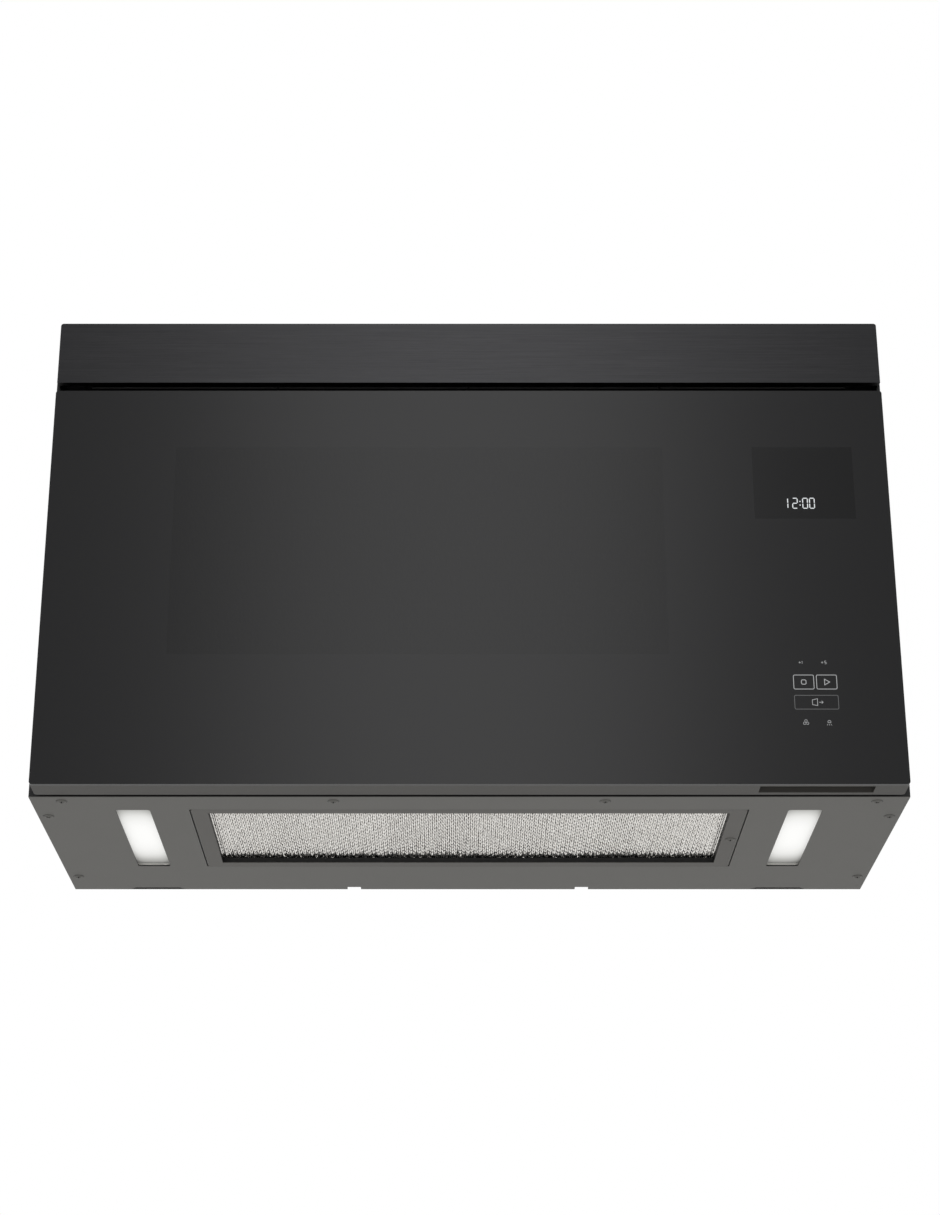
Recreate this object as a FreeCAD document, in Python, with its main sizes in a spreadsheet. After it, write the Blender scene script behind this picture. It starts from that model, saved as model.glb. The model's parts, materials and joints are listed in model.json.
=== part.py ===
import FreeCAD, Part
import math
import os
import re
import Sketcher

# An over the range microwave with its cooktop hood, hung under a cabinet.
# X runs to the right, Y runs back to the wall, Z runs up, all in millimetres.
# The origin is on the wall plane, below the middle of the object, at its underside.

Vector = FreeCAD.Vector
doc = FreeCAD.newDocument("RangeMicrowave")
sheet = doc.addObject("Spreadsheet::Sheet", "Sizes")

SIZES = [
    # overall
    ("case_wide", 758.8, "case, side to side: 29 7/8 inches"),
    ("case_high", 440.0, "underside to the top: 17 5/16 inches"),
    ("case_deep", 336.5, "wall to the front of the door glass: 13 1/4 inches"),
    # case sheet metal
    ("case_sheet", 1.0, "thickness of the case's top and side sheets"),
    ("case_bend", 0.7, "radius of the top sheet's two side edges"),
    ("case_flange", 34.0, "width of the rails under the sides"),
    ("base_sheet", 1.2, "thickness of the underside panel"),
    ("frame_sheet", 1.0, "thickness of the face frame"),
    ("rail_deep", 22.0, "depth of the face frame's lower rail"),
    ("back_sheet", 0.8, "thickness of the back panel"),
    ("back_recess", 12.0, "depth of the hollow in the back for the wall plate"),
    ("back_fit", 0.3, "gap between the back panel and the case"),
    ("back_lip", 5.0, "width of the back panel's lips"),
    ("rear_flange", 18.0, "height of the underside panel's turned-up rear flange"),
    ("tab_place", 109.7, "middle of each rear notch from the middle of the case"),
    ("tab_wide", 13.0, "width of each rear notch for the wall plate's tabs"),
    ("tab_deep", 8.0, "depth of each rear notch"),
    ("slot_place", 299.0, "middle of each rear drain slot from the middle of the case"),
    ("slot_wide", 54.0, "length of each rear drain slot"),
    ("slot_deep", 5.0, "depth of each rear drain slot"),
    ("slot_taper", 6.0, "run of the slot's slanted ends"),
    # door
    ("door_wide", 747.3, "width of the door"),
    ("door_high", 371.1, "height of the door"),
    ("door_thick", 31.5, "glass front to the rear rim of the door"),
    ("door_gap", 5.5, "gap from the door's rim to the face frame"),
    ("glass_thick", 4.0, "thickness of the front glass"),
    ("glass_corner", 2.5, "corner radius of the front glass"),
    ("glass_edge", 0.4, "step from the glass edge in to the door frame"),
    ("door_wall", 2.5, "wall of the moulded door frame"),
    ("door_web", 2.0, "web of the door frame behind the glass"),
    ("door_corner", 3.0, "radius of the door frame's four long edges"),
    ("cover_sheet", 1.5, "thickness of the door's rear cover"),
    ("cover_fit", 0.3, "gap round the rear cover and the choke"),
    ("window_left", -262.5, "left edge of the viewing window"),
    ("window_right", 173.2, "right edge of the viewing window"),
    ("window_low", 117.1, "lower edge of the viewing window"),
    ("window_high", 314.8, "upper edge of the viewing window"),
    ("display_left", 253.2, "left edge of the display"),
    ("display_right", 343.0, "right edge of the display"),
    ("display_low", 244.8, "lower edge of the display"),
    ("grip_left", 247.3, "left end of the finger recess under the door"),
    ("grip_right", 345.5, "right end of the finger recess"),
    ("grip_front", 7.8, "glass front to the front wall of the finger recess"),
    ("grip_wide", 17.4, "front to back width of the finger recess"),
    ("grip_high", 22.0, "height of the finger recess"),
    ("grip_wall", 1.8, "wall round the finger recess"),
    # trim over the door
    ("trim_wide", 746.6, "width of the metal trim over the door"),
    ("trim_high", 60.2, "height of the trim"),
    ("trim_setback", 0.8, "trim front behind the glass front"),
    ("trim_sheet", 1.5, "thickness of the trim"),
    ("trim_lip", 5.0, "depth of the trim's lower lip"),
    ("trim_corner", 2.5, "radius of the trim's upper corners"),
    ("grille_in", 23.65, "end of the vent grille in from the door's side"),
    ("grille_high", 50.0, "height of the vent grille"),
    ("grille_deep", 9.0, "depth of the vent grille"),
    ("grille_rim", 4.0, "rim round the vent grille"),
    ("grille_blade", 1.6, "thickness of a grille blade"),
    ("grille_pitch", 8.4, "height from one grille blade to the next"),
    ("grille_tilt", 30.0, "slope of the grille blades in degrees"),
    # top of the case
    ("duct_wide", 262.0, "width of the exhaust opening in the top"),
    ("duct_deep", 90.0, "front to back size of the exhaust opening"),
    ("duct_y", -64.0, "middle of the exhaust opening from the wall"),
    ("bolt_space", 640.0, "spacing of the two cabinet bolts"),
    ("bolt_y", -255.0, "cabinet bolts from the wall"),
    ("bolt_hole", 3.4, "radius of the cabinet bolt holes"),
    ("cord_x", 330.0, "cord bushing from the middle of the case"),
    ("cord_y", -60.0, "cord bushing from the wall"),
    ("cord_hole", 11.0, "radius of the hole for the cord bushing"),
    # underside
    ("base_bend", 0.8, "radius of the underside panel's front edge"),
    ("filter_side", 14.6, "width of the filter frame's side bars"),
    ("filter_seam", 1.0, "seam round the filter frame"),
    ("filter_front_bar", 10.7, "width of the filter frame's front bar"),
    ("filter_rear_bar", 11.5, "width of its rear bar"),
    ("mesh_half", 229.1, "half width of the frame's opening"),
    ("mesh_front", -251.1, "front edge of the frame's opening"),
    ("mesh_rear", -93.3, "rear edge of the frame's opening"),
    ("mesh_thick", 7.0, "thickness of the grease filter"),
    ("mesh_lap", 4.0, "width of the filter's rim on the frame"),
    ("light_out", 50.5, "filter frame to the middle of each light window"),
    ("light_wide", 30.1, "width of each light window"),
    ("light_front", -261.5, "front end of the light windows"),
    ("light_rear", -81.5, "rear end of the light windows"),
    ("light_corner", 3.0, "corner radius of the light windows"),
    ("screw_head", 4.6, "radius of the underside screws' pan heads"),
    ("screw_cap", 1.6, "height of those heads"),
    ("screw_shank", 2.0, "radius of the screws' shanks"),
    ("screw_long", 8.0, "length of the shanks"),
    ("screw_fit", 0.3, "gap round the shanks"),
    ("front_outer_in", 26.8, "outer front screws in from the case's sides"),
    ("front_outer_y", -287.3, "outer front screws from the wall"),
    ("front_inner_x", 117.5, "inner front screws from the middle"),
    ("front_inner_y", -287.5, "inner front screws from the wall"),
    ("side_front_in", 9.3, "front side screws in from the case's sides"),
    ("side_front_y", -243.2, "front side screws from the wall"),
    ("side_rear_in", 9.4, "rear side screws in from the case's sides"),
    ("side_rear_y", -46.5, "rear side screws from the wall"),
    ("cooling_left", 215.0, "left end of the cooling slots in the back"),
    ("cooling_right", 305.0, "right end of the cooling slots"),
    ("cooling_low", 110.0, "lowest cooling slot"),
    ("cooling_high", 4.0, "height of a cooling slot"),
    ("cooling_pitch", 12.0, "height from one cooling slot to the next"),
    ("grille_low", 382.0, "underside of the vent grille"),
    # latch
    ("hook_x", 237.0, "sideways place of the latch hooks"),
    ("hook_thick", 4.0, "thickness of the hooks"),
    ("hook_side", 2.2, "gap beside a hook in its slot"),
    ("hook_low", 135.0, "underside of the lower hook"),
    ("hook_top", 300.0, "underside of the upper hook"),
    ("hook_high", 9.0, "height of a hook's arm"),
    ("hook_head", 1.0, "gap over a hook's arm"),
    ("barb_deep", 2.2, "how far a hook's barb hangs below its arm"),
    ("keeper_gap", 0.7, "gap under a barb when the door is released"),
    ("hook_reach", 24.0, "hook's tip behind the face frame"),
    # microwave source and electrics bay
    ("guide_right", 300.0, "right end of the waveguide"),
    ("tube_x", 256.0, "sideways place of the magnetron and its fan"),
    ("tube_wide", 84.0, "width of the magnetron's yoke"),
    ("tube_high", 88.0, "height of the magnetron"),
    ("tube_yoke", 2.0, "thickness of the magnetron's yoke"),
    ("fin_thick", 0.8, "thickness of a cooling fin"),
    ("shelf_level", 186.0, "height of the component shelf"),
    ("shelf_sheet", 1.2, "thickness of the component shelf"),
    ("shelf_lip_deep", 12.0, "depth of the shelf's front lip"),
    ("transformer_x", 262.0, "sideways place of the transformer"),
    ("transformer_y", -150.0, "place of the transformer from the wall"),
    ("capacitor_x", 262.0, "sideways place of the capacitor"),
    ("capacitor_y", -60.0, "place of the capacitor from the wall"),
    ("capacitor_high", 80.0, "height of the capacitor"),
    ("capacitor_radius", 25.0, "radius of the capacitor"),
    ("board_front", -285.0, "front edge of the power board's tray"),
    ("board_rear", -165.0, "rear edge of the power board's tray"),
    ("board_low", 205.0, "lower edge of the power board's tray"),
    ("board_high", 325.0, "upper edge of the power board's tray"),
    ("board_thick", 1.6, "thickness of a circuit board"),
    ("fan_y", -80.0, "middle of the cooling fan from the wall"),
    ("fan_deep", 25.0, "depth of the cooling fan's shroud"),
    ("fan_square", 92.0, "side of the cooling fan's shroud"),
    ("fan_radius", 42.0, "radius of the cooling fan"),
    ("fan_gap", 1.5, "gap round the cooling fan"),
    ("fan_hub", 16.0, "radius of the cooling fan's hub"),
    ("fan_blade_deep", 14.0, "depth of the cooling fan's blades"),
    ("fan_sweep", 34.0, "sweep of the cooling fan's blades in degrees"),
    ("blade_thick", 1.0, "thickness of fan and blower blades"),
    # hood blower
    ("blower_y", -62.0, "blower axle from the wall"),
    ("blower_z", 386.0, "height of the blower axle"),
    ("blower_half", 124.0, "middle of the case to the end of a scroll"),
    ("motor_half", 26.0, "half of the blower motor's length"),
    ("blower_motor_radius", 32.0, "radius of the blower motor"),
    ("axle_radius", 4.0, "radius of the blower axle"),
    ("scroll_gap", 3.0, "gap from the blower motor to each scroll"),
    ("scroll_radius", 44.0, "inside radius of each scroll"),
    ("scroll_step", 3.5, "how far each scroll is off the axle"),
    ("scroll_wall", 1.5, "wall of each scroll"),
    ("mouth_deep", 82.0, "front to back size of a scroll's mouth"),
    ("inlet_radius", 27.0, "radius of a scroll's inlets"),
    ("wheel_radius", 37.0, "radius of a blower wheel"),
    ("wheel_inner", 29.0, "inside radius of its blades"),
    ("wheel_sweep", 15.0, "sweep of its blades in degrees"),
    ("wheel_plate", 1.5, "thickness of its plate and rim"),
    ("wheel_hub", 9.0, "radius of its hub"),
    ("wheel_gap", 3.0, "gap from a wheel to the scroll's sides"),
    ("charcoal_half", 190.0, "half of the charcoal filter's width"),
    ("charcoal_deep", 22.0, "depth of the charcoal filter"),
    ("charcoal_high", 98.0, "height of the charcoal filter"),
    # exhaust
    ("collar_wide", 254.0, "width of the duct collar: 10 inches"),
    ("collar_deep", 82.5, "front to back size of the duct collar: 3 1/4 inches"),
    ("collar_high", 26.0, "height of the duct collar"),
    ("collar_sheet", 1.2, "thickness of the duct collar"),
    ("flap_pin", 2.0, "radius of the damper's pins"),
    ("flap_fit", 0.6, "gap round the damper"),
    ("flap_sheet", 1.0, "thickness of the damper"),
    ("cord_bore", 5.5, "radius of the cord bushing's bore"),
    # filter and lights
    ("filter_rise", 5.0, "height of the filter frame's folded edges"),
    ("filter_sheet", 1.2, "thickness of the filter frame"),
    ("filter_screw_out", 7.9, "filter screw out from the frame's opening"),
    ("filter_screw_y", -171.0, "filter screw from the wall"),
    ("hood_out", 18.3, "filter frame to the end of the plenum over it"),
    ("hood_high", 33.0, "height of the filter plenum's roof"),
    ("light_wall", 4.0, "wall of a light housing"),
    ("light_high", 24.0, "height of a light housing"),
    ("light_recess", 3.2, "recess of the light lenses"),
    ("lens_thick", 2.0, "thickness of the light lenses"),
    ("hook_travel", 2.5, "how far the hooks drop to lock the door"),
    ("barb_start", 1.0, "gap from the face frame to a barb"),
    ("bar_front", -322.0, "front of the hook bar from the wall"),
    ("bar_back", -312.0, "back of the hook bar"),
    ("bar_low", 112.0, "lower end of the hook bar"),
    ("bar_high", 334.0, "upper end of the hook bar"),
    ("spring_long", 16.0, "length of the latch spring"),
    ("spring_radius", 3.5, "radius of the latch spring"),
    ("lever_y", -262.0, "axle of the release lever from the wall"),
    ("lever_drop", 7.0, "axle of the release lever below the lower hook"),
    ("lever_reach", 24.0, "reach of the release lever"),
    ("lever_gap", 0.4, "gap from the lever to the barb"),
    # hinges
    ("hinge_in", 9.0, "hinge pins in from the door's left edge"),
    ("hinge_depth", 7.0, "hinge pins in from the door's rear rim"),
    ("hinge_half", 6.0, "half width of a hinge plate"),
    ("hinge_sheet", 2.5, "thickness of a hinge plate"),
    ("hinge_lift", 1.0, "gap from the door's top to the upper hinge plate"),
    ("leaf_sheet", 1.5, "thickness of the hinge leaves on the face frame"),
    ("leaf_high", 28.0, "height of those leaves"),
    ("lower_hinge", 12.0, "height of the lower hinge plate"),
    ("pin_radius", 3.0, "radius of the hinge pins"),
    ("pin_long", 15.0, "length of the hinge pins in the door"),
    ("pin_fit", 0.05, "radial clearance of the hinge pins"),
    ("pocket_fit", 0.7, "gap over and under the lower hinge plate"),
    ("hinge_sweep", 16.0, "radius cleared round the lower hinge plate"),
    # inner door
    ("choke_lap", 18.0, "lap of the inner door round the oven opening"),
    ("choke_rim", 8.0, "width of its rim inside the oven opening"),
    ("choke_cover", 1.2, "thickness of the choke cover"),
    ("choke_gap", 1.4, "gap from the choke cover to the face frame"),
    ("pan_sheet", 1.0, "thickness of the inner door"),
    ("screen_depth", 15.0, "depth of the screen behind the door frame's web"),
    ("inner_glass", 3.0, "thickness of the inner glass"),
    ("touch_low", 40.0, "lower edge of the touch board"),
    ("touch_high", 330.0, "upper edge of the touch board"),
    # lamp in the oven wall
    ("lamp_y", -190.0, "oven lamp from the wall"),
    ("lamp_z", 285.0, "height of the oven lamp"),
    ("lamp_hole", 1.5, "radius of a lamp hole"),
    ("lamp_pitch", 5.0, "spacing of the lamp holes"),
    # oven
    ("cavity_left", -290.0, "left wall of the oven, inside"),
    ("cavity_right", 200.0, "right wall of the oven, inside"),
    ("cavity_floor", 82.0, "steel floor of the oven, inside"),
    ("cavity_roof", 333.0, "roof of the oven, inside"),
    ("cavity_deep", 268.0, "depth of the oven behind the face frame"),
    ("cavity_sheet", 0.8, "thickness of the oven walls"),
    ("cavity_corner", 10.0, "radius of the oven's long edges"),
    ("ledge_high", 10.0, "height of the ledge that carries the ceramic floor"),
    ("ledge_wide", 12.0, "width of that ledge"),
    ("ceramic_thick", 5.0, "thickness of the ceramic floor"),
    ("ceramic_fit", 1.0, "gap round the ceramic floor"),
    ("antenna_x", -45.0, "sideways place of the rotating antenna"),
    ("antenna_y", -165.0, "place of the rotating antenna from the wall"),
    ("antenna_radius", 60.0, "radius of the rotating antenna"),
    ("antenna_thick", 2.0, "thickness of the rotating antenna"),
    ("antenna_lift", 3.0, "gap from the steel floor to the antenna"),
    ("shaft_radius", 3.0, "radius of the small motor shafts"),
    ("shaft_fit", 0.05, "radial clearance of every turning shaft"),
    ("port_radius", 12.0, "radius of the ports in the waveguide"),
    ("guide_high", 26.0, "height of the waveguide"),
    ("guide_wide", 80.0, "width of the waveguide"),
    ("guide_sheet", 1.2, "thickness of the waveguide"),
    ("motor_radius", 24.0, "radius of the antenna motor"),
    ("motor_high", 19.0, "height of the antenna motor"),
    # inner details
    ("core_wide", 84.0, "width of the transformer's core"),
    ("core_deep", 68.0, "front to back size of the core"),
    ("core_high", 62.0, "height of the core"),
    ("winding_wide", 50.0, "width of the transformer's windings"),
    ("winding_deep", 96.0, "front to back size of the windings"),
    ("winding_lift", 12.0, "shelf to the windings"),
    ("winding_high", 38.0, "height of the windings"),
    ("winding_corner", 8.0, "corner radius of the windings"),
    ("post_high", 7.0, "height of the capacitor's posts"),
    ("post_radius", 2.0, "radius of those posts"),
    ("tray_deep", 12.0, "depth of the power board's tray"),
    ("tray_wall", 2.0, "wall of that tray"),
    ("board_off", 8.0, "side of the case to the power board"),
    ("board_fit", 0.3, "gap round the power board in its tray"),
    ("board_post_in", 8.0, "board posts in from the tray's edges"),
    ("board_post", 3.0, "radius of the board posts"),
    ("shroud_corner", 6.0, "lower corner radius of the fan shroud"),
    ("spider_wide", 8.0, "width of the bar that carries the fan motor"),
    ("spider_thick", 3.0, "thickness of that bar"),
    ("fan_motor_side", 36.0, "side of the fan motor's core"),
    ("fan_motor_long", 22.0, "length of the fan motor"),
    ("charcoal_edge", 10.0, "edge and bars of the charcoal filter"),
    ("bush_rim", 3.0, "width and thickness of the cord bushing's rim"),
    ("bush_deep", 10.0, "depth of the bushing's neck under the top"),
    ("plate_side", 40.0, "side of each cabinet bolt plate"),
    ("plate_thick", 2.5, "thickness of each bolt plate"),
    ("collar_lap", 10.0, "lap of the collar's plate on the top"),
    ("collar_end", 14.0, "lap of that plate at the collar's ends"),
    ("hood_sheet", 1.0, "thickness of the filter plenum"),
    ("hood_lap", 8.0, "filter frame to the front and rear of the plenum"),
    ("tab_half", 8.0, "half of the screw tab's front to back size"),
    ("tab_sheet", 2.0, "thickness of the screw tab"),
    ("chip_side", 4.0, "side of a lamp chip"),
    ("chip_high", 1.0, "height of a lamp chip"),
    ("chip_start", 20.0, "front of the light window to the first lamp chip"),
    ("chip_pitch", 28.0, "spacing of the lamp chips"),
    ("light_board_half", 9.0, "half of the lamp board's width"),
    ("light_board_in", 4.0, "lamp board's ends in from the light window's"),
    ("light_roof", 2.0, "roof of a light housing"),
    ("lens_lap", 1.0, "lap of a lens beyond its window"),
    ("guide_half", 8.0, "half of a bar guide's width"),
    ("bar_guide_high", 12.0, "height of a bar guide"),
    ("bar_guide_low", 45.0, "end of the hook bar to the lower guide"),
    ("bar_guide_top", 60.0, "upper guide down from the end of the hook bar"),
    ("guide_back", 2.0, "depth of a bar guide behind the bar"),
    ("seat_thick", 3.0, "thickness of the spring's seat"),
    ("spring_wire", 0.8, "wall of the latch spring"),
    ("window_back", 4.0, "edge of the window opening behind the glass"),
    ("touch_clear", 10.0, "hook bar to the touch board"),
    ("touch_in", 6.0, "touch board to the door frame's wall"),
    ("touch_chip", 12.0, "side of a touch chip"),
    ("touch_chip_high", 2.5, "height of a touch chip"),
    ("touch_chip_pitch", 24.0, "spacing of the touch chips"),
    ("touch_chip_low", 110.0, "lower edge of the touch board to its chips"),
    ("tip_slope", 4.0, "run of the slope under a hook's tip"),
    ("tip_rise", 3.0, "rise of that slope above the arm's underside"),
    ("bracket_off", 8.0, "hooks to the latch bracket"),
    ("bracket_sheet", 2.0, "thickness of the latch bracket"),
    ("bracket_deep", 18.0, "width of the bracket's foot"),
    ("switch_thick", 10.0, "thickness of a door switch"),
    ("switch_rise", 14.0, "hook to the door switch over it"),
    ("switch_high", 16.0, "height of a door switch"),
    ("switch_step", 60.0, "lower switch to the middle one"),
    ("switch_gap", 6.0, "hook's tip to a door switch"),
    ("release_long", 28.0, "length of the release motor"),
    ("release_half", 16.0, "half of the release motor's height"),
    ("release_back", 14.0, "lever's axle to the back of the release motor"),
    ("release_front", 20.0, "lever's axle to its front"),
    ("lever_hub", 5.0, "radius of the release lever's hub"),
    ("lever_wide", 4.0, "width of the release lever"),
    ("lever_axle", 26.0, "length of the lever's axle"),
    ("lever_tip", 3.0, "front of the lever's nose"),
    ("lever_heel", 2.0, "back of the nose, and the arm's depth below the axle"),
    ("lever_top", 1.5, "arm's height above the axle"),
    ("lamp_long", 36.0, "front to back size of the lamp housing"),
    ("lamp_high", 24.0, "height of the lamp housing"),
    ("lamp_deep", 14.0, "depth of the lamp housing"),
]

NAMES = {alias for alias, number, note in SIZES}

# Planes that many pieces share, worked out from the sizes.
PLACES = {
    "case_half": "case_wide / 2",
    "side_inside": "case_half - case_sheet",
    "top_inside": "case_high - case_sheet",
    "door_half": "door_wide / 2",
    "glass_front": "-case_deep",
    "glass_back": "glass_front + glass_thick",
    "door_rear": "glass_front + door_thick",
    "case_front": "door_rear + door_gap",
    "frame_back": "case_front + frame_sheet",
    "trim_front": "glass_front + trim_setback",
    "trim_half": "trim_wide / 2",
    "trim_low": "case_high - trim_high",
    "back_front": "-back_recess - back_sheet",
    "tray_half": "door_half - glass_edge",
    "tray_low": "glass_edge",
    "tray_top": "door_high - glass_edge",
    "web_back": "glass_back + door_web",
    "cover_front": "door_rear - cover_sheet",
    "oven_rear": "frame_back + cavity_deep",
    "oven_under": "cavity_floor - cavity_sheet",
    "oven_over": "cavity_roof + cavity_sheet",
    "oven_side": "cavity_right + cavity_sheet",
    "ceramic_low": "cavity_floor + ledge_high",
    "ceramic_top": "ceramic_low + ceramic_thick",
    "guide_low": "oven_under - guide_high",
    "grille_half": "door_half - grille_in",
    "filter_half": "mesh_half + filter_side",
    "filter_front": "mesh_front - filter_front_bar",
    "filter_rear": "mesh_rear + filter_rear_bar",
    "filter_screw_x": "mesh_half + filter_screw_out",
    "hood_half": "filter_half + hood_out",
    "light_place": "filter_half + light_out",
    "front_outer_x": "case_half - front_outer_in",
    "side_front_x": "case_half - side_front_in",
    "side_rear_x": "case_half - side_rear_in",
}

for row, (alias, number, note) in enumerate(SIZES, 1):
    sheet.set(f"A{row}", note)
    sheet.set(f"B{row}", str(number))
    sheet.setAlias(f"B{row}", alias)
doc.recompute()

NODES = []


def formula(text):
    """Open up the places in a formula and point its sizes at the sheet."""

    def swap(match):
        word = match.group(0)
        if word in PLACES:
            return "(" + formula(PLACES[word]) + ")"
        return "Sizes." + word if word in NAMES else word

    return re.sub(r"[a-z][a-z_0-9]*", swap, str(text))


def number_of(text):
    """The value of a formula now."""
    return float(sheet.evalExpression(formula(text)))


def bind(thing, property_name, text):
    """Tie one property of an object to a formula on the sheet."""
    thing.setExpression(property_name, formula(text))


def node(name, thing):
    """Name a finished piece, which is then written to its own file."""
    thing.Label = name
    NODES.append(thing)
    return thing


def box(name, low, high):
    """A block between two corners, each three formulas."""
    block = doc.addObject("Part::Box", name)
    for axis, side, start, end in zip("xyz", ("Length", "Width", "Height"), low, high):
        bind(block, side, f"({end}) - ({start})")
        bind(block, f"Placement.Base.{axis}", start)
    return block


TURNS = {
    "x": FreeCAD.Rotation(Vector(0, 1, 0), 90),
    "y": FreeCAD.Rotation(Vector(1, 0, 0), -90),
    "z": FreeCAD.Rotation(),
}


def rod(name, start, along, length, radius):
    """A cylinder from a point, along +X, +Y or +Z."""
    bar = doc.addObject("Part::Cylinder", name)
    bar.Placement = FreeCAD.Placement(Vector(), TURNS[along])
    for axis, place in zip("xyz", start):
        bind(bar, f"Placement.Base.{axis}", place)
    bind(bar, "Radius", radius)
    bind(bar, "Height", length)
    return bar


def prism(name, start, along, length, radius, sides):
    """A bar with flat sides inside a radius, for a small round piece that nothing turns in."""
    bar = doc.addObject("Part::Prism", name)
    bar.Polygon = sides
    bar.Placement = FreeCAD.Placement(Vector(), TURNS[along])
    for axis, place in zip("xyz", start):
        bind(bar, f"Placement.Base.{axis}", place)
    bind(bar, "Circumradius", radius)
    bind(bar, "Height", length)
    return bar


def fuse(name, pieces):
    """One solid from pieces that touch or overlap."""
    whole = doc.addObject("Part::MultiFuse", name)
    whole.Shapes = pieces
    whole.Refine = True
    return whole


def cut(name, base, tools):
    """A solid less its openings."""
    tool = tools[0]
    if len(tools) > 1:
        tool = doc.addObject("Part::MultiFuse", name + "_openings")
        tool.Shapes = tools
    rest = doc.addObject("Part::Cut", name)
    rest.Base = base
    rest.Tool = tool
    return rest


def group(name, pieces):
    """Separate solids that share one node."""
    together = doc.addObject("Part::Compound", name)
    together.Links = pieces
    return together


def rounded(name, low, high, radius, wanted):
    """A block whose edges that pass the test are rounded."""
    block = box(name + "_block", low, high)
    doc.recompute()
    smooth = doc.addObject("Part::Fillet", name)
    smooth.Base = block
    size = number_of(radius)
    smooth.Edges = [(i, size, size) for i, edge in enumerate(block.Shape.Edges, 1) if wanted(edge)]
    return smooth


def body(name):
    """An empty PartDesign body."""
    return doc.addObject("PartDesign::Body", name)


def sketch(piece, name, plane, offset):
    """A sketch on one of the body's own origin planes, lifted by a formula along its normal."""
    drawing = piece.newObject("Sketcher::SketchObject", name)
    features = piece.Origin.OriginFeatures
    drawing.AttachmentSupport = [([f for f in features if f.Role == plane + "_Plane"][0], "")]
    drawing.MapMode = "FlatFace"
    bind(drawing, "AttachmentOffset.Base.z", offset)
    return drawing


def fix(drawing, kind, line, end, text):
    """Hold one coordinate of a sketch to a formula."""
    index = drawing.addConstraint(Sketcher.Constraint(kind, line, end, number_of(text)))
    drawing.setExpression(f"Constraints[{index}]", formula(text))


def outline(drawing, points):
    """A closed outline of straight lines through points, each two formulas."""
    spots = [Vector(number_of(x), number_of(y), 0) for x, y in points]
    first = drawing.GeometryCount
    count = len(points)
    for here, there in zip(spots, spots[1:] + spots[:1]):
        drawing.addGeometry(Part.LineSegment(here, there), False)
    for i in range(count):
        drawing.addConstraint(Sketcher.Constraint("Coincident", first + i, 2, first + (i + 1) % count, 1))
    for i, (x, y) in enumerate(points):
        fix(drawing, "DistanceX", first + i, 1, x)
        fix(drawing, "DistanceY", first + i, 1, y)


def rectangle(drawing, left, right, low, high):
    """A rectangle between four formulas."""
    outline(drawing, [(left, low), (right, low), (right, high), (left, high)])


def ring(drawing, x, y, radius):
    """A circle held by three formulas."""
    centre = Vector(number_of(x), number_of(y), 0)
    line = drawing.addGeometry(Part.Circle(centre, Vector(0, 0, 1), number_of(radius)), False)
    fix(drawing, "DistanceX", line, 3, x)
    fix(drawing, "DistanceY", line, 3, y)
    index = drawing.addConstraint(Sketcher.Constraint("Radius", line, number_of(radius)))
    drawing.setExpression(f"Constraints[{index}]", formula(radius))


def polygon(drawing, x, y, radius, sides):
    """A regular polygon inside a radius, for small holes and rims that repeat."""
    corners = []
    for index in range(sides):
        turn = 2 * math.pi * index / sides
        corners.append((f"{x} + {math.cos(turn):.9f} * ({radius})", f"{y} + {math.sin(turn):.9f} * ({radius})"))
    outline(drawing, corners)


def pad(piece, drawing, length, backwards=False):
    """Thicken a sketch along its normal, or against it."""
    feature = piece.newObject("PartDesign::Pad", drawing.Name + "_pad")
    feature.Profile = drawing
    feature.Reversed = backwards
    bind(feature, "Length", length)
    drawing.Visibility = False
    return feature


def pocket(piece, drawing, depth):
    """Cut a sketch into the body, half of the depth on each side of its plane."""
    doc.recompute()
    before = piece.Tip.Shape.Volume
    feature = piece.newObject("PartDesign::Pocket", drawing.Name + "_pocket")
    feature.Profile = drawing
    feature.Midplane = True
    bind(feature, "Length", depth)
    doc.recompute()
    if feature.Shape.Volume >= before:
        raise ValueError(drawing.Name + " cuts nothing")
    return feature


def soften(piece, name, radius, wanted, kind="PartDesign::Fillet"):
    """Round, or chamfer, those edges of the body that pass the test."""
    doc.recompute()
    base = piece.Tip
    edges = [f"Edge{i}" for i, edge in enumerate(base.Shape.Edges, 1) if wanted(edge)]
    feature = piece.newObject(kind, name)
    feature.Base = (base, edges)
    bind(feature, "Radius" if kind == "PartDesign::Fillet" else "Size", radius)
    return feature


def runs(edge, axis):
    """Whether a straight edge runs along an axis."""
    if edge.Curve.TypeId != "Part::GeomLine":
        return False
    return abs(getattr(edge.Curve.Direction, axis)) > 0.999


def middle(edge):
    """The middle of an edge."""
    return edge.CenterOfMass


def near(one, other):
    """Whether two lengths are the same to a hundredth."""
    return abs(one - other) < 0.01

# How many flats stand for the round of each kind of small piece.
SCREW_SIDES = 8
HEAD_SIDES = 16
POST_SIDES = 8
CAN_SIDES = 24
PORT_SIDES = 16
DISC_SIDES = 36

# ---------------------------------------------------------------- case

# Where the underside screws go, each with its mirror image: three into the rails, one into the face frame.
FLANGE_SCREWS = [
    ("front_outer_x", "front_outer_y"), ("side_front_x", "side_front_y"), ("side_rear_x", "side_rear_y"),
]
SCREWS = FLANGE_SCREWS + [("front_inner_x", "front_inner_y")]

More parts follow.
